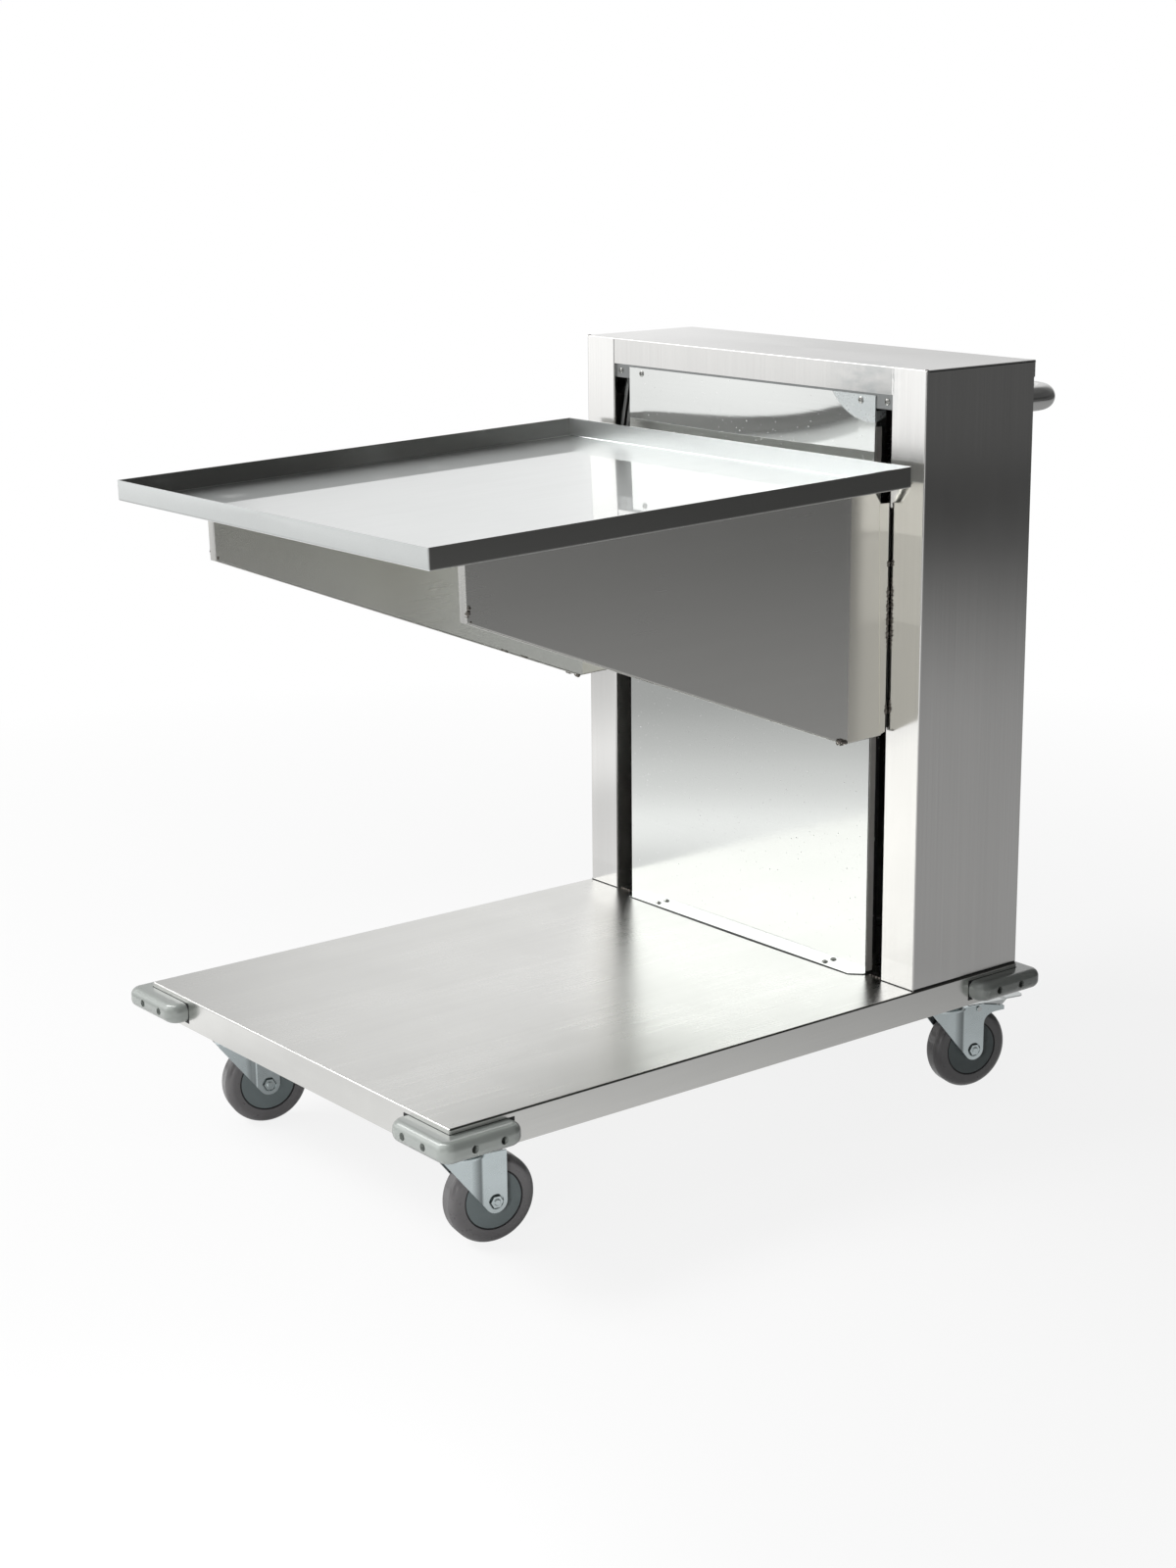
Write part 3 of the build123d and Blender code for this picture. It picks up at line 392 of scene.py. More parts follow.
def zinc(name, colour, rough, crease=None):
    """Zinc-plated pressing: cool tint, cloudy patches and a fine grain.

    A crease is (direction, start, end): the plating's colour is darkened along it up to the end, a painted shade
    in the bend.
    """
    paint = Paint(name, {"Metallic": 1.0})
    cloud = paint.noise(even(cloud_waves), detail=5.0, soft=0.6)
    grain = paint.noise(even(grain_waves), detail=2.0)
    shade = banded(paint, cloud, colour, *cloud_tint)
    if crease:
        direction, start, end = crease
        reach = paint.vector("DOT_PRODUCT", paint.place, direction)
        before = paint.spread(reach, 0.0, 1.0, start, end)
        after = paint.spread(reach, 1.0, 0.0, *(end + fade for fade in fork_crease_end))
        shade = paint.mix(paint.sum(before, after, "MULTIPLY"), shade, tinted(colour, crease_shade_tint))
    paint.shade("Base Color", shade)
    paint.shade("Roughness", paint.spread(cloud, *(rough + limit for limit in cloud_gloss)))
    paint.shade("Normal", paint.bump(grain, grain_depth, paint.bump(cloud, cloud_depth)))
    return paint.material


def moulded(
    name, colour, rough, mottle=0.06, sheen=0.5, coat=0.0, polish=0.12, metal=0.0, scuffs=0.1,
):
    """Moulded plastic or rubber: a faint mottle, a fine skin texture and scuffs in the gloss.

    Coat is the share of a clear gloss, and polish its roughness.
    """
    paint = Paint(name, {
        "Specular IOR Level": sheen, "Coat Weight": coat, "Coat Roughness": polish, "Metallic": metal,
    })
    mottling = paint.noise(even(mottle_waves), detail=4.0, soft=0.6)
    skin = paint.noise(even(skin_waves), detail=2.0)
    scuff = paint.noise(even(scuff_waves), detail=5.0, soft=0.65)
    paint.shade("Base Color", banded(paint, mottling, colour, 1 - mottle, 1 + mottle))
    paint.shade("Roughness", paint.spread(scuff, rough - scuffs / 2, rough + scuffs))
    paint.shade("Normal", paint.bump(skin, skin_depth))
    return paint.material


# Stains, marks, painted light and painted shade of the sheets: where they lie, how far they reach and the width of
# their edge
# Painted light: where the lighter rear strip of each bracket begins
rear_strip_light_start = (0.1448, 0.1455)
dulled_cover = (0.5, 0.72)
lower_faces = (-0.6, -0.15)
side_faces = (0.5, 0.9)
rear_faces = (0.8, 0.95)
rear_lip_depth = (0.003, 0.002)
side_bends = (0.1, 0.25)
haze_patch = ((0.208, cover_low.y, 0.896), 0.079, 0.0015)
haze_clouds = (150.0, 0.65)
mark_places = ((-0.222, -0.361, 0.7443), (-0.213, -0.085, 0.7518), (-0.2, -0.171, 0.7495))
mark_reach, mark_edge = 0.011, 0.016
mark_clouds = (120.0, 60.0, 120.0)
mark_limits = (0.35, 0.6)
speck_waves = 320.0
speck_limits = (0.725, 0.745)
speck_share = 0.8
smudge_patch = ((0.2, tower_front, 0.862), 0.04, 0.05)
smudge_clouds = (40.0, 40.0, 90.0)


def rear_strip_light(paint):
    """Painted light: strip at the rear of a bracket, lighter and warmer, standing in for the light that the bent
    rear strip catches.
    """
    return paint.past("Y", *rear_strip_light_start)


def lower_cover(paint):
    """Lower part of the cover, dulled by cleaning."""
    return paint.spread(paint.at()["Z"], 1.0, 0.0, *dulled_cover)


def lower_edge_shade(paint):
    """Painted shade: bent lower edges, darker than the flats because they face down."""
    return paint.spread(paint.facing()["Z"], 1.0, 0.0, *lower_faces)


def side_lip_shade(paint):
    """Painted shade: lips that look to the sides, darkened to stand in for the dark they reflect."""
    return paint.spread(paint.sum(paint.facing()["X"], 0.0, "ABSOLUTE"), 0.0, 1.0, *side_faces)


def rear_lip(paint):
    """Back of the shelf's rear lip, made rougher and painted lighter: painted light from above."""
    back = paint.spread(paint.facing()["Y"], 0.0, 1.0, *rear_faces)
    behind = paint.past("Y", *(shelf_high.y - depth for depth in rear_lip_depth))
    return paint.sum(back, behind, "MULTIPLY")


def side_edge_shade(paint):
    """Painted shade: bends between the top and the two sides, darkened to stand in for the dark line they reflect.
    """
    parts = paint.facing()
    bend = paint.sum(parts["X"], parts["Z"], "MULTIPLY")
    return paint.spread(paint.sum(bend, 0.0, "ABSOLUTE"), 0.0, 1.0, *side_bends)


def screw_haze(paint):
    """Hazy patch with a round edge at the right-hand top screw of the cover."""
    waves, least = haze_clouds
    clouds = paint.spread(paint.noise(even(waves), detail=4.0, soft=0.7), least, 1.0)
    return paint.sum(paint.near(*haze_patch), clouds, "MULTIPLY")


def shelf_marks(paint):
    """Pale marks where the left bracket is welded under the shelf."""
    marks = None
    for place in mark_places:
        mark = paint.near(place, mark_reach, mark_edge)
        marks = mark if marks is None else paint.sum(marks, mark)
    clouds = paint.spread(paint.noise(mark_clouds, detail=4.0, soft=0.7), 0.0, 1.0, *mark_limits)
    return paint.sum(marks, clouds, "MULTIPLY")


def dust_specks(paint):
    """Scattered small pale specks."""
    return paint.spread(paint.noise(even(speck_waves), detail=1.0), 0.0, speck_share, *speck_limits)


def weld_smudge(paint):
    """Mottled grinding marks at the right-hand end of the header."""
    clouds = paint.spread(paint.noise(smudge_clouds, detail=5.0, soft=0.6), 0.0, 1.0)
    return paint.sum(paint.near(*smudge_patch), clouds, "MULTIPLY")


paints = {
    "deck_steel": steel(
        "deck_steel", "Y", (0.805, 0.803, 0.78), 0.28, lips=0.2, streak=0.07, fine=0.0000012,
        # Painted shade: the dark tint on the side bends stands in for the dark line they reflect.
        stains_and_shades=[(side_edge_shade, (0.16, 0.16, 0.15, 1.0), 0.1, 0.0)],
    ),
    "tower_steel": steel(
        "tower_steel", "Z", (0.78, 0.775, 0.76), 0.15, bow=(0.2436, 0.0, 0.1, -0.07),
        stains_and_shades=[(weld_smudge, (0.6, 0.62, 0.62, 1.0), 0.05, 0.0)],
    ),
    "shelf_steel": steel(
        "shelf_steel", "Y", (0.87, 0.9, 0.89), 0.34, lips=0.32, coat=1.0,
        stains_and_shades=[
            # Painted shade on the side lips; the pale shelf marks are marks of the welds.
            (side_lip_shade, (0.29, 0.29, 0.28, 1.0), 0.0, 0.0), (shelf_marks, (0.9, 0.91, 0.9, 1.0), 0.2, 0.75),
            # Painted light: the back of the rear lip is painted lighter.
            (rear_lip, (0.96, 0.96, 0.94, 1.0), 0.4, 0.0),
        ],
    ),
    "bracket_steel": steel(
        "bracket_steel", "Y", (0.79, 0.787, 0.76), 0.26, streak=0.03, fine=0.0000008, grit=0.5,
        stains_and_shades=[
            # Painted light: the rear strip of each bracket is painted lighter and warmer.
            (rear_strip_light, (0.92, 0.9, 0.82, 1.0), 0.04, 0.0),
            # Painted shade: the down-facing lower edges are darkened.
            (lower_edge_shade, (0.7, 0.69, 0.66, 1.0), 0.0, 0.0),
        ],
    ),
    "handle_steel": steel("handle_steel", "X", (0.75, 0.75, 0.74), 0.14),
    # Painted shade: the inner parts' colour is darkened to stand in for the shade in the recesses.
    "inner_steel": steel("inner_steel", "Z", (0.33, 0.34, 0.34), 0.4),
    "spring_steel": zinc("spring_steel", (0.42, 0.42, 0.42), 0.35),
    "screw_steel": zinc("screw_steel", (0.55, 0.55, 0.53), 0.16),
    "zinc_steel": zinc("zinc_steel", zinc_colour, zinc_rough),
    "pedal_steel": zinc("pedal_steel", (0.68, 0.71, 0.71), 0.2),
    "bumper_plastic": moulded(
        "bumper_plastic", (0.335, 0.36, 0.34), 0.3, mottle=0.02, coat=1.0, polish=0.05, metal=0.15,
        scuffs=0.04,
    ),
    "buffer_rubber": moulded("buffer_rubber", (0.03, 0.03, 0.03), 0.6),
    "tread_rubber": moulded("tread_rubber", (0.13, 0.125, 0.128), 0.3, sheen=0.6, coat=0.8, polish=0.06),
    "hub_plastic": moulded("hub_plastic", (0.16, 0.19, 0.194), 0.4),
    "roller_plastic": moulded("roller_plastic", (0.62, 0.61, 0.57), 0.35),
}
cover_paint = steel(
    "cover_steel", "X", (0.8, 0.815, 0.8), 0.045, streak=0.04, grit=0.5, bow=(0.0, 0.19, 0.0, -0.029),
    stains_and_shades=[
        (lower_cover, (0.8, 0.82, 0.8, 1.0), 0.05, 0.0), (dust_specks, (0.9, 0.9, 0.9, 1.0), 0.3, 0.7),
        (screw_haze, (0.6, 0.64, 0.645, 1.0), 0.3, 0.8),
    ],
)
weld_paint = zinc("weld_metal", (0.24, 0.22, 0.2), 0.3)
# Painted shade: a dark copy of the zinc for the nuts' upright sides, standing in for their shade and dark
# reflections.
nut_shade_paint = zinc("nut_side", (0.1, 0.12, 0.12), 0.25)
# Painted shade: near-black strips in the joints and gaps, and the ring between hub and tread.
gap_shade_paint = moulded("gap_shade_dark", (0.012, 0.012, 0.013), 0.5)
# Painted light: a grey strip on each of the cover's side returns in the slots, standing in for the light and shade
# on them.
return_light_paint = moulded("slot_return_light", (0.5, 0.49, 0.46), 0.4)


def dress(node, material):
    """Give a CAD node its finish."""
    mesh = frame["nodes"][node].data
    mesh.materials.clear()
    mesh.materials.append(material)


def dress_frame():
    """Finish of every CAD node, by its material slot in the record."""
    for part in frame["record"]["subparts"]:
        dress(part["node"], paints[part["material_slot"]])
    dress("front_cover", cover_paint)
    for corner in corners:
        kingpin = Vector(swivel_joints["caster_fork_" + corner]["pos_m"])
        trail = Vector(wheel_joints["caster_wheel_" + corner]["pos_m"]) - kingpin
        direction = Vector((trail.x, trail.y, 0)).normalized()
        start = kingpin.dot(direction)
        # Each fork's crease gets a painted shade in its zinc.
        crease = (direction, *(start + reach for reach in fork_crease))
        dress("fork_" + corner, zinc("fork_zinc_" + corner, zinc_colour, zinc_rough, crease))


# Shapes of the added pieces
block_chamfer = 0.25
steep = 0.9
point_gap = 0.000001
wobble_turns = (12.9, 7.3)


class Shape:
    """Points and faces of one piece, gathered from several forms."""

    def __init__(self):
        self.points = []
        self.faces = []

    def grid(self, rows, closed=False, caps=False):
        """Quads between rings of as many points, with or without a face over each end."""
        start = len(self.points)
        count, width = len(rows), len(rows[0])
        for row in rows:
            self.points += [tuple(point) for point in row]
        for i in range(count if closed else count - 1):
            for j in range(width):
                near, far = start + i * width, start + (i + 1) % count * width
                step = (j + 1) % width
                self.faces.append((near + j, near + step, far + step, far + j))
        if caps:
            last = start + (count - 1) * width
            self.faces.append(tuple(range(start + width - 1, start - 1, -1)))
            self.faces.append(tuple(range(last, last + width)))

    def lathe(self, place, axis, profile, sides=48, closed=False):
        """Turned form: a profile of (radius, distance along the axis) about a line."""
        place, heading = Vector(place), Vector(axis).normalized()
        rows = [circle(place + heading * far, axis, radius, sides) for radius, far in profile]
        self.grid(rows, closed)

    def tube(self, path, radii, sides=8):
        """Round tube along a path, with a radius at each point."""
        rows = []
        for k, middle in enumerate(path):
            heading = Vector(path[min(k + 1, len(path) - 1)]) - Vector(path[max(k - 1, 0)])
            rows.append(circle(middle, heading, radii[k], sides))
        self.grid(rows, caps=True)

    def block(self, low, high):
        """Box with a small chamfer round its upper and outer faces."""
        (x0, y0, z0), (x1, y1, z1) = low, high
        edge = min(x1 - x0, y1 - y0, z1 - z0) * block_chamfer

        def ring(z, inset):
            return [
                (x0 + inset, y0 + inset, z), (x1 - inset, y0 + inset, z),
                (x1 - inset, y1 - inset, z), (x0 + inset, y1 - inset, z),
            ]

        rows = [ring(z0, edge), ring(z0 + edge, 0), ring(z1 - edge, 0), ring(z1, edge)]
        self.grid(rows, caps=True)

    def finish(self, name, material, body=None, sharp=35):
        """Make the piece, and let it ride on a body."""
        mesh = bpy.data.meshes.new(name)
        mesh.from_pydata(self.points, [], self.faces)
        mesh.materials.append(material)
        mesh.polygons.foreach_set("use_smooth", [True] * len(mesh.polygons))
        mesh.set_sharp_from_angle(angle=radians(sharp))
        piece = bpy.data.objects.new(name, mesh)
        bpy.context.scene.collection.objects.link(piece)
        if body:
            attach(piece, body)
        return piece


def across(axis):
    """Two directions at right angles to an axis."""
    axis = Vector(axis).normalized()
    out = axis.cross(Vector((0, 0, 1)) if abs(axis.z) < steep else Vector((1, 0, 0))).normalized()
    return out, axis.cross(out)


def circle(middle, axis, radius, sides):
    """Points round an axis."""
    out, up = across(axis)
    turns = [tau * k / sides for k in range(sides)]
    return [Vector(middle) + radius * (cos(turn) * out + sin(turn) * up) for turn in turns]


def wobble(k, spread):
    """Steady irregular number round 1, for the k-th ripple of a weld."""
    first, second = wobble_turns
    return 1.0 + spread * (sin(first * k) + sin(second * k + 1.0)) / 2


def solids_of(node):
    """Low and high corner of each solid in a CAD node."""
    mesh = bmesh.new()
    mesh.from_mesh(frame["nodes"][node].data)
    bmesh.ops.remove_doubles(mesh, verts=mesh.verts, dist=point_gap)
    todo = set(mesh.verts)
    boxes = []
    while todo:
        stack = [todo.pop()]
        found = []
        while stack:
            vertex = stack.pop()
            found.append(vertex.co.copy())
            linked = {edge.other_vert(vertex) for edge in vertex.link_edges} & todo
            todo -= linked
            stack += linked
        limits = [(min(co[i] for co in found), max(co[i] for co in found)) for i in range(3)]
        boxes.append((Vector([limit[0] for limit in limits]), Vector([limit[1] for limit in limits])))
    mesh.free()
    return sorted(boxes, key=lambda box: tuple(box[0]))


# Screws
screw_head_height = 0.0022
screw_cross = (0.17, 0.62)
screw_cross_depth = 0.0013
screw_dome_drop, screw_dome_power = 0.7, 2.4
screw_shank = [(0.55, 0.0), (0.5, 0.8), (0.1, 1.0)]
screw_turns = (0.5, 1.1)
screw_sides, screw_rings = 40, 14
cover_screw_depth = 0.05


def screw_form(shape, seat, outward, radius, length, turn):
    """Pan-head screw with a cross recess; the seat is under its head."""
    out, up = across(outward)
    axis = Vector(outward)
    narrow, wide = screw_cross
    rows = []
    for ring in range(screw_rings + 1):
        share = ring / screw_rings
        row = []
        for k in range(screw_sides):
            angle = tau * k / screw_sides
            x, y = share * cos(angle), share * sin(angle)
            height = screw_head_height * (1 - screw_dome_drop * share ** screw_dome_power)
            u, v = abs(x * cos(turn) + y * sin(turn)), abs(y * cos(turn) - x * sin(turn))
            if (u < narrow and v < wide) or (v < narrow and u < wide):
                height -= screw_cross_depth
            row.append(Vector(seat) + radius * (x * out + y * up) + height * axis)
        rows.append(row)
    shape.grid(rows)
    rim = [(radius, screw_head_height * (1 - screw_dome_drop)), (radius, 0)]
    shank = [(radius * thick, -length * deep) for thick, deep in screw_shank]
    shape.lathe(seat, outward, rim + shank, sides=screw_sides)


def make_screws(node, name):
    """Screws of one CAD node, with their cross recesses."""
    shape = Shape()
    for k, (low, high) in enumerate(solids_of(node)):
        size = high - low
        middle = (low + high) / 2
        lengthways = max(range(3), key=lambda i: size[i])
        radius = sorted(size)[0] / 2
        direction = Vector((0, 0, 0))
        forward = lengthways == 1 and middle.y < tower_front + cover_screw_depth
        direction[lengthways] = -1 if forward else 1
        length = size[lengthways] - screw_head_height
        seat = middle + direction * (size[lengthways] / 2 - screw_head_height)
        screw_form(shape, seat, direction, radius, length, screw_turns[0] + screw_turns[1] * k)
    piece = shape.finish(name, paints["screw_steel"], "chassis")
    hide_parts(node)


# Lift springs
spring_wire = 0.0025
spring_radius = 0.012
spring_hook = 0.009
spring_turn_rise = 0.005
spring_turn_steps = 14
spring_wire_sides = 6
hook_sides, hook_wire_sides = 28, 8


def make_springs():
    """Coiled lift springs, built in place between the tower and the carriage."""
    shape = Shape()
    boxes = solids_of("lift_springs")
    coil = spring_radius - spring_wire / 2
    for low, high in boxes:
        middle = (low + high) / 2
        foot = low.z + spring_wire / 2 + 2 * spring_hook
        head = high.z - spring_wire / 2 - 2 * spring_hook
        turns = round((head - foot) / spring_turn_rise)
        steps = spring_turn_steps * turns
        path = []
        for k in range(steps + 1):
            angle = tau * k / spring_turn_steps
            height = foot + (head - foot) * k / steps
            path.append((middle.x + coil * cos(angle), middle.y + coil * sin(angle), height))
        shape.tube(path, [spring_wire / 2] * len(path), sides=spring_wire_sides)
        wire = [tau * k / hook_wire_sides for k in range(hook_wire_sides)]
        ring = [(spring_hook + spring_wire / 2 * cos(turn), spring_wire / 2 * sin(turn)) for turn in wire]
        for centre in (foot - spring_hook, head + spring_hook):
            shape.lathe((middle.x, middle.y, centre), (1, 0, 0), ring, sides=hook_sides, closed=True)
    piece = shape.finish("lift_spring_coils", paints["spring_steel"])
    low, high = boxes[0]
    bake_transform(piece)
    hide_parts("lift_springs")


# Welds
weld_proud = 0.0004
bead_pitch = 0.35
bead_end, bead_taper = 0.35, 4
bead_ripple, ripple_turn = 0.25, 0.9
bead_wobble, speck_wobble, header_weld_wobble = 0.35, 0.4, 0.3
bead_sides, dot_sides = 10, 20
bead_least_steps = 8
flange_outline = [(0.188, 0.733), (0.2028, 0.7325), (0.2028, 0.4705), (0.1945, 0.4685)]
flange_depth = 0.0022
rear_bead_inset, rear_bead_radius = 0.0008, 0.0024
rear_bead_line = (0.2032, 0.2034)
rear_bead_spans = ((0.5636, 0.648), (0.4894, 0.5066), (0.66, 0.668))
across_bead_inset = 0.0006
corner_bead_inset = 0.003
bracket_beads = [
    ("across", (-0.3765, 0.6745), (-0.3735, 0.6715), 0.0027),
    ("corner", (-0.3775, 0.6755), (-0.376, 0.689), 0.0026),
    ("across", (0.139, 0.4655), (0.142, 0.4665), 0.0029),
    ("edge", (0.128, 0.4712), (0.144, 0.4672), 0.0031),
    ("across", (0.1955, 0.4695), (0.2, 0.471), 0.0018),
]
tack_places = ((0.0234, 0.5128), (0.0534, 0.5012))
tack_half, tack_radius = (0.006, 0.0025), 0.0012
dot_inset, dot_sink = 0.0022, 0.0004
dot_profile = [(0.0024, 0), (0.0021, 0.0006), (0.0012, 0.001), (0.0001, 0.0011)]
speck_count = 4
speck_start, speck_pitch, speck_length = 0.006, 0.005, 0.0035
speck_depth, speck_lift, speck_radius = 0.004, 0.0006, 0.0011
post_inner = 0.245
header_low = top_high.z - 0.031
header_weld_half = 0.003
header_weld_flat = 0.6
header_weld_rise = 0.00012
header_weld_sink = 0.0006
header_weld_ends = (0.0004, 0.0016)
header_weld_steps = 12


def bead(shape, start, end, radius):
    """Rippled weld bead between two points."""
    start, end = Vector(start), Vector(end)
    count = max(bead_least_steps, int((end - start).length / (radius * bead_pitch)))
    path, radii = [], []
    for k in range(count + 1):
        share = k / count
        taper = min(1.0, bead_taper * share + bead_end, bead_taper * (1 - share) + bead_end)
        ripple = 1 - bead_ripple + bead_ripple * abs(sin(k * ripple_turn))
        path.append(start.lerp(end, share))
        radii.append(radius * taper * ripple * wobble(k, bead_wobble))
    shape.tube(path, radii, sides=bead_sides)


def make_bracket_welds():
    """Crusty beads at the bracket corners and along the arms, on the flange that closes each bracket."""
    shape = Shape()
    flange = Shape()
    for side in (-1, 1):
        near, far = sorted((side * (bracket_high.x - flange_depth), side * (bracket_high.x + weld_proud)))
        rows = [[(x, y, z) for y, z in flange_outline] for x in (near, far)]
        flange.grid(rows, caps=True)
        edge = side * (bracket_high.x - rear_bead_inset)
        for low, high in rear_bead_spans:
            bead(shape, (edge, rear_bead_line[0], low), (edge, rear_bead_line[1], high), rear_bead_radius)
        inner, outer = side * (bracket_low.x - across_bead_inset), side * (bracket_high.x + weld_proud)
        starts = {"across": inner, "corner": outer - side * corner_bead_inset, "edge": outer}
        for kind, start, end, radius in bracket_beads:
            bead(shape, (starts[kind], *start), (outer, *end), radius)
    ahead, up = tack_half
    for y, z in tack_places:
        bead(shape, (-bracket_low.x, y - ahead, z + up), (-bracket_low.x, y + ahead, z - up), tack_radius)
    shape.finish("bracket_weld_beads", weld_paint, "lift_carriage", sharp=30)
    flange.finish("bracket_rear_flanges", paints["bracket_steel"], "lift_carriage")


def make_tower_welds():
    """Weld dots at the tower's top corners, specks at the slots' feet, and the header's ground weld."""
    shape = Shape()
    for side in (-1, 1):
        dot = (side * (side_high.x - dot_inset), tower_front + dot_inset, top_high.z - dot_sink)
        shape.lathe(dot, (0, 0, 1), dot_profile, sides=dot_sides)
        for k in range(speck_count):
            near = cover_high.x + speck_start + speck_pitch * k
            y, z = tower_front + speck_depth, deck_top + speck_lift
            start, end = ((side * x, y, z) for x in (near, near + speck_length))
            bead(shape, start, end, speck_radius * wobble(k, speck_wobble))
    shape.finish("tower_weld_dots", weld_paint, "chassis", sharp=60)
    ground = Shape()
    rows = []
    for k in range(header_weld_steps + 1):
        low, high = header_weld_ends
        z = header_low + low + (top_high.z - high - header_low) * k / header_weld_steps
        half = header_weld_half * wobble(k, header_weld_wobble)
        flat = half * header_weld_flat
        front, back = tower_front - header_weld_rise, tower_front + header_weld_sink
        outline = ((-half, back), (-flat, front), (flat, front), (half, back))
        rows.append([(post_inner + offset, y, z) for offset, y in outline])
    ground.grid(rows, caps=True)
    ground.finish("header_ground_weld", paints["tower_steel"], "chassis", sharp=60)


# Dark strips of painted shade in the joints and gaps, and grey strips of painted light in the slots
foot_shade_out = 0.0018
foot_shade_rise = 0.00057
foot_shade_tip = 0.15
foot_shade_bow = 1.0
foot_shade_back = 0.002
foot_shade_steps = 24
foot_corner = 0.013
foot_corner_out = Vector((1, -1, 0)).normalized()
side_joint_shade = (0.001, 0.0007)
side_joint_shade_rise = 0.0016
top_joint_shade_start = 0.004
top_joint_shade_drop = (0.0024, 0.0014)
post_joint_shade_out, post_joint_shade_back, post_joint_shade_rise = 0.0006, 0.001, 0.0009
return_strip_edge = (0.001, 0.0006)
return_strip_depth = (0.004, 0.0125)
return_strip_ends = (0.003, 0.035)


def make_joint_shades():
    """Dark strips along the tower's foot and top and the cover's foot, painted shade in the joints and the gap
    under the foot, and grey strips in the slots, painted light on the cover's returns.
    """
    shape = Shape()
    foot = side_high.x
    for side in (-1, 1):
        near, far = sorted((side * (foot - side_joint_shade[0]), side * (foot + side_joint_shade[1])))
        low, high = (top_high.z - drop for drop in top_joint_shade_drop)
        front = tower_front + side_joint_shade[0]
        shape.block((near, front, deck_top), (far, side_high.y, deck_top + side_joint_shade_rise))
        shape.block((near, tower_front + top_joint_shade_start, low), (far, top_high.y, high))
        near, far = sorted((side * post_inner, side * (foot - side_joint_shade[0])))
        front, back = tower_front - post_joint_shade_out, tower_front + post_joint_shade_back
        shape.block((near, front, deck_top), (far, back, deck_top + post_joint_shade_rise))
    front = cover_low.y
    reach = cover_high.x - foot_corner
    ends = []
    for side in (-1, 1):
        corner = Vector((side * cover_high.x, front + foot_corner, deck_top))
        ends.append((corner, Vector((side * foot_corner_out.x, foot_corner_out.y, 0)), 1.0))
    stations = [ends[0]]
    for k in range(foot_shade_steps + 1):
        share = k / foot_shade_steps
        place = Vector((reach * (2 * share - 1), front, deck_top))
        stations.append((place, Vector((0, -1, 0)), 1 + foot_shade_bow * sin(pi * share)))
    stations.append(ends[1])
    rows = []
    for place, outward, bulge in stations:
        out, back = place + foot_shade_out * bulge * outward, place - foot_shade_back * outward
        top = Vector((0, 0, foot_shade_rise * bulge))
        rows.append([out, out + foot_shade_tip * top, place + top, back + top, back])
    shape.grid(rows, caps=True)
    shape.finish("tower_foot_joint_shades", gap_shade_paint, "chassis")
    # Grey strips of painted light on the cover's side returns
    return_strips = Shape()
    for side in (-1, 1):
        near, far = sorted((side * (cover_high.x - return_strip_edge[0]), side * (cover_high.x + return_strip_edge[1])))
        front, back = (tower_front + depth for depth in return_strip_depth)
        return_strips.block((near, front, deck_top + return_strip_ends[0]), (far, back, cover_high.z - return_strip_ends[1]))
    return_strips.finish("slot_return_light_strips", return_light_paint, "chassis")


# Shelf and bumpers
shelf_sheet = 0.0015
shelf_lip = 0.0232
shelf_bend = 0.0009
shelf_bend_steps = 6
bumper_gap_shade_rim = 0.0004


def make_shelf_bends():
    """Rounded inside bends between the shelf's floor and its lips."""
    shape = Shape()
    depth = shelf_high.y - shelf_low.y
    slope = (shelf_high.z - shelf_low.z - shelf_lip) / depth

    def floor_point(x, y, rise):
        return (x, y, shelf_high.z - shelf_lip + shelf_sheet - slope * (shelf_high.y - y) + rise)

    turns = [tau / 4 * k / shelf_bend_steps for k in range(shelf_bend_steps + 1)]
    arc = [(shelf_bend * (1 - cos(turn)), shelf_bend * (1 - sin(turn))) for turn in turns] + [(0.0, 0.0)]
    wall_x = shelf_high.x - shelf_sheet
    front, rear = shelf_low.y + shelf_sheet, shelf_high.y - shelf_sheet
    for side in (-1, 1):
        rows = [[floor_point(side * (wall_x - out), y, up) for out, up in arc] for y in (front, rear)]
        shape.grid(rows, caps=True)
    for wall, inward in ((front, 1), (rear, -1)):
        rows = [[floor_point(x, wall + inward * out, up) for out, up in arc] for x in (-wall_x, wall_x)]
        shape.grid(rows, caps=True)
    shape.finish("shelf_inner_bends", paints["shelf_steel"], "lift_carriage", sharp=50)


def make_bumper_gap_shades():
    """Thin dark strips between the bumpers and the deck's skirt: painted shade in the gap."""
    shape = Shape()
    rim = bumper_gap_shade_rim
    for corner in corners:
        low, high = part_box("corner_bumper_" + corner)
        z_low, z_high = low.z - rim, high.z + rim
        side = 1 if "right" in corner else -1
        end = 1 if "rear" in corner else -1
        skirt_x = side * deck_high.x
        skirt_y = deck_high.y if end > 0 else deck_low.y
        tip_x = (low.x if side > 0 else high.x) - side * rim
        tip_y = (low.y if end > 0 else high.y) - end * rim
        for first, second in (
            ((tip_x, skirt_y), (skirt_x, skirt_y + end * rim)),
            ((skirt_x, tip_y), (skirt_x + side * rim, skirt_y)),
        ):
            x0, x1 = sorted((first[0], second[0]))
            y0, y1 = sorted((first[1], second[1]))
            shape.block((x0, y0, z_low), (x1, y1, z_high))
    shape.finish("bumper_gap_shades", gap_shade_paint, "chassis")


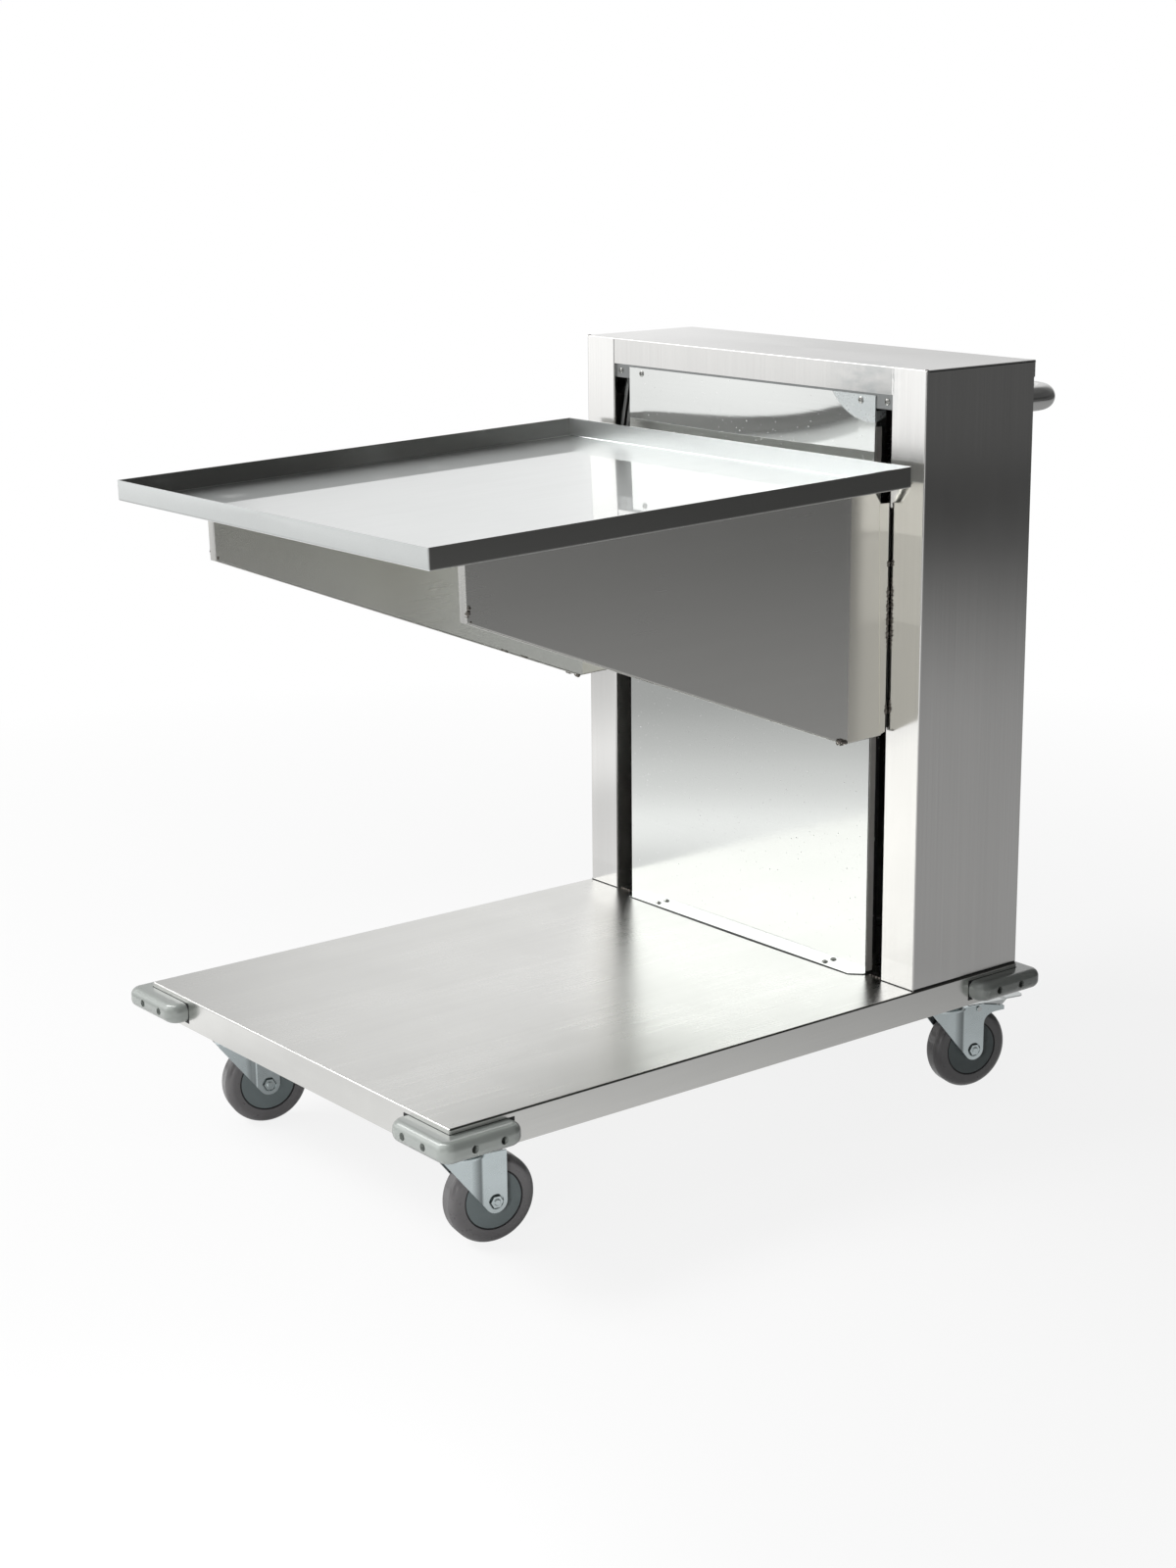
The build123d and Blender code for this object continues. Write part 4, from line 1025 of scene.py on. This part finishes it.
# Wheels
tread_radius = 0.05
hub_rim = 0.034
hub_face = 0.0134
ring_inner, ring_outer, ring_chamfer = 0.0018, 0.0003, 0.0004
ring_foot, ring_rise = 0.0119, 0.0002
crown_drop = 0.00023
ridge_place = 0.007
ridge_profile = [(-0.0003, -0.0006), (0.00022, -0.0002), (0.00019, 0.0002), (-0.0004, 0.0006)]
ring_sides, ridge_sides = 72, 96
axle_radius = 0.004
axle_tip = 0.0001
axle_proud, axle_chamfer, axle_point = 0.0016, 0.0012, 0.7
nut_radius = 0.0082
nut_height = 0.0062
nut_chamfer, nut_face = 0.0011, 0.86
nut_margin = 0.003
washer_radius, washer_height, washer_sink = 0.0092, 0.0009, 0.001
sleeve_radius, sleeve_half = 0.006, 0.0172
nut_sides, axle_sides, sleeve_sides = 6, 24, 32
nut_side_limit = 0.8


def make_wheel_rings(corner):
    """Dark ring between hub and tread, a painted shade in the gap between them, and the moulding ridges of the
    tread.
    """
    body = "caster_wheel_" + corner
    joint = wheel_joints[body]
    place, axis = Vector(joint["pos_m"]), Vector(joint["axis"]).normalized()
    ring = Shape()
    ridges = Shape()
    inner, outer, face = hub_rim - ring_inner, hub_rim + ring_outer, hub_face + ring_rise
    ring_profile = [
        (inner, ring_foot), (inner, hub_face), (inner + ring_chamfer, face),
        (outer - ring_chamfer, face), (outer, hub_face), (outer, ring_foot),
    ]
    crown = tread_radius - crown_drop
    profile = [(crown + rise, ridge_place + offset) for rise, offset in ridge_profile]
    for side in (-1, 1):
        ring.lathe(place, axis * side, ring_profile, closed=True, sides=ring_sides)
        ridges.lathe(place, axis * side, profile, closed=True, sides=ridge_sides)
    ring.finish("wheel_ring_" + corner, gap_shade_paint, body)
    ridges.finish("tread_ridges_" + corner, paints["tread_rubber"], body)


def nut_form(shape, seat, axis):
    """Six-sided nut or bolt head with a chamfered outer face."""
    profile = [
        (nut_radius, 0), (nut_radius, nut_height - nut_chamfer),
        (nut_radius * nut_face, nut_height), (axle_radius, nut_height),
    ]
    shape.lathe(seat, axis, profile, sides=nut_sides)


def make_axles(corner):
    """Axle bolt with a chamfered head, a nut, washers and a rounded thread end."""
    low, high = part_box("axle_set_" + corner)
    joint = wheel_joints["caster_wheel_" + corner]
    place, axis = Vector(joint["pos_m"]), Vector(joint["axis"]).normalized()
    spans = [(point - place).dot(axis) for box in solids_of("axle_set_" + corner) for point in box]
    reach = max(abs((high - place).x), abs((low - place).x)) / abs(axis.x)
    seat = min(reach, max(spans)) - nut_height - nut_margin
    shape = Shape()
    for side in (-1, 1):
        outward = axis * side
        washer = [(washer_radius, 0), (washer_radius, washer_height), (axle_radius, washer_height)]
        shape.lathe(place + outward * (seat - washer_sink), outward, washer)
        nut_form(shape, place + outward * seat, outward)
    start, end = -seat - nut_height, seat + nut_height + axle_proud
    profile = [
        (axle_tip, start), (axle_radius, start), (axle_radius, end - axle_chamfer),
        (axle_radius * axle_point, end), (axle_tip, end),
    ]
    shape.lathe(place, axis, profile, sides=axle_sides)
    sleeve = [
        (axle_radius, -sleeve_half), (sleeve_radius, -sleeve_half),
        (sleeve_radius, sleeve_half), (axle_radius, sleeve_half),
    ]
    shape.lathe(place, axis, sleeve, sides=sleeve_sides, closed=True)
    body = "caster_fork_" + corner
    piece = shape.finish("axle_hardware_" + corner, paints["zinc_steel"], body, sharp=25)
    # The nuts' upright sides get the dark copy of the zinc: painted shade.
    piece.data.materials.append(nut_shade_paint)
    for face in piece.data.polygons:
        offset = face.center - place
        level = offset.dot(axis)
        upright = abs(face.normal.dot(axis)) < nut_side_limit
        if upright and abs(level) > seat and (offset - level * axis).length > sleeve_radius:
            face.material_index = 1
    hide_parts("axle_set_" + corner)


# Stage
def make_world():
    """White for the eye; walls of different brightness for mirrors and for soft light."""
    world = bpy.data.worlds.new("studio")
    bpy.context.scene.world = world
    world.use_nodes = True
    graph = Graph(world.node_tree)
    direction = graph.add("TexCoord").outputs["Generated"]
    compass = graph.add("TexGradient", direction, gradient_type="RADIAL").outputs["Fac"]
    height = graph.parts(direction)["Z"]
    walls = graph.levels(compass, low_walls)
    for steps, rise in ((high_walls, high_wall_rise), (ceiling_levels, ceiling_rise)):
        walls = graph.mix(graph.spread(height, 0.0, 1.0, *rise), walls, graph.levels(compass, steps))
    soft = graph.nodes["Background"]
    graph.feed(soft.inputs["Color"], walls)
    graph.feed(soft.inputs["Strength"], ambient_share)
    mirrored = graph.add("Background", walls, 1.0)
    seen = graph.add("Background", (1.0, 1.0, 1.0, 1.0), 1.0)
    rays = graph.add("LightPath").outputs
    shader = graph.blend(graph.shiny(rays), soft.outputs[0], mirrored.outputs[0])
    shader = graph.blend(rays["Is Camera Ray"], shader, seen.outputs[0])
    graph.feed(graph.nodes["World Output"].inputs["Surface"], shader)


def stage_material(name):
    """Material of a stage card, and its graph."""
    material = bpy.data.materials.new(name)
    material.use_nodes = True
    return material, Graph(material.node_tree)


def panel(name, corners, material):
    """Flat stage card through its corners."""
    mesh = bpy.data.meshes.new(name)
    mesh.from_pydata(corners, [], [tuple(range(len(corners)))])
    mesh.materials.append(material)
    card = bpy.data.objects.new(name, mesh)
    bpy.context.scene.collection.objects.link(card)
    return card


def make_floor():
    """Pale floor that keeps the shadow, white for the eye and shaded in mirrors."""
    material, graph = stage_material("studio_floor")
    matt = graph.nodes["Principled BSDF"]
    sockets = {"Base Color": floor_colour, "Roughness": floor_roughness, "Specular IOR Level": 0.0}
    for socket, value in sockets.items():
        matt.inputs[socket].default_value = value
    place = graph.add("TexCoord").outputs["Object"]
    diagonal = graph.vector("DOT_PRODUCT", place, floor_diagonal)
    brightness = graph.levels(graph.spread(diagonal, 0.0, 1.0, *floor_reach), floor_levels)
    inside = graph.vector("ABSOLUTE", graph.vector("SUBTRACT", place, under_centre))
    inside = graph.parts(graph.vector("DIVIDE", inside, under_half))
    outward = graph.sum(inside["X"], inside["Y"], "MAXIMUM")
    mirrored = graph.add("Emission", brightness, graph.spread(outward, under_level, 1.0, *under_edge))
    glow = graph.spread(graph.vector("LENGTH", place), floor_glow, 1.0, *floor_fade)
    white = graph.add("Emission")
    rays = graph.add("LightPath").outputs
    seen = graph.sum(rays["Is Camera Ray"], glow, "MULTIPLY")
    shader = graph.blend(seen, matt.outputs[0], white.outputs[0])
    shader = graph.blend(graph.shiny(rays), shader, mirrored.outputs[0])
    graph.feed(graph.nodes["Material Output"].inputs["Surface"], shader)
    half = floor_size / 2
    edges = [(-half, -half, 0), (half, -half, 0), (half, half, 0), (-half, half, 0)]
    panel("studio_floor", edges, material)


def make_card():
    """Card at the front left that only mirrors see."""
    material, graph = stage_material("front_card")
    height = graph.parts(graph.add("TexCoord").outputs["Object"])["Z"]
    share = graph.spread(height, 0.0, 1.0, *card_height)
    glow = graph.add("Emission", graph.levels(share, card_levels))
    graph.feed(graph.nodes["Material Output"].inputs["Surface"], glow.outputs[0])
    bottom, top = card_height
    edges = [(*card_left, bottom), (*card_right, bottom), (*card_right, top), (*card_left, top)]
    card = panel("front_card", edges, material)
    card.visible_camera = False
    card.visible_diffuse = False
    card.visible_shadow = False


def make_lamp(name, place, target, size, watts):
    """Soft box that faces a point, left out of mirrors."""
    lamp = bpy.data.lights.new(name, "AREA")
    lamp.shape = "RECTANGLE"
    lamp.size, lamp.size_y = size
    lamp.energy = watts
    holder = bpy.data.objects.new(name, lamp)
    aim = Vector(target) - Vector(place)
    holder.matrix_world = Matrix.Translation(place) @ aim.to_track_quat("-Z", "Y").to_matrix().to_4x4()
    holder.visible_glossy = False
    holder.visible_camera = False
    bpy.context.scene.collection.objects.link(holder)


def make_camera():
    """Camera at the photograph's place and angle."""
    away = Vector((
        sin(camera_azimuth) * cos(camera_elevation),
        -cos(camera_azimuth) * cos(camera_elevation),
        sin(camera_elevation),
    ))
    level = Vector((0, 0, 1)).cross(away).normalized()
    upright = away.cross(level)
    right = cos(camera_roll) * level + sin(camera_roll) * upright
    up = cos(camera_roll) * upright - sin(camera_roll) * level
    lens = bpy.data.cameras.new("camera")
    lens.lens = camera_lens
    lens.sensor_width = camera_sensor
    camera = bpy.data.objects.new("camera", lens)
    place = Vector((0, tower_front, deck_top)) + camera_offset
    camera.matrix_world = Matrix.Translation(place) @ Matrix((right, up, away)).transposed().to_4x4()
    bpy.context.scene.collection.objects.link(camera)
    bpy.context.scene.camera = camera


def make_stage():
    """Floor, world, front card and lamps."""
    make_world()
    make_floor()
    make_card()
    for lamp in lamps:
        make_lamp(*lamp)
    bpy.context.scene.view_settings.view_transform = "Standard"


dress_frame()
make_screws("panel_screws", "panel_screw_heads")
make_screws("handle_screws", "handle_screw_heads")
make_springs()
make_bracket_welds()
make_tower_welds()
make_joint_shades()
make_shelf_bends()
make_bumper_gap_shades()
for corner in corners:
    make_wheel_rings(corner)
    make_axles(corner)
make_stage()
make_camera()
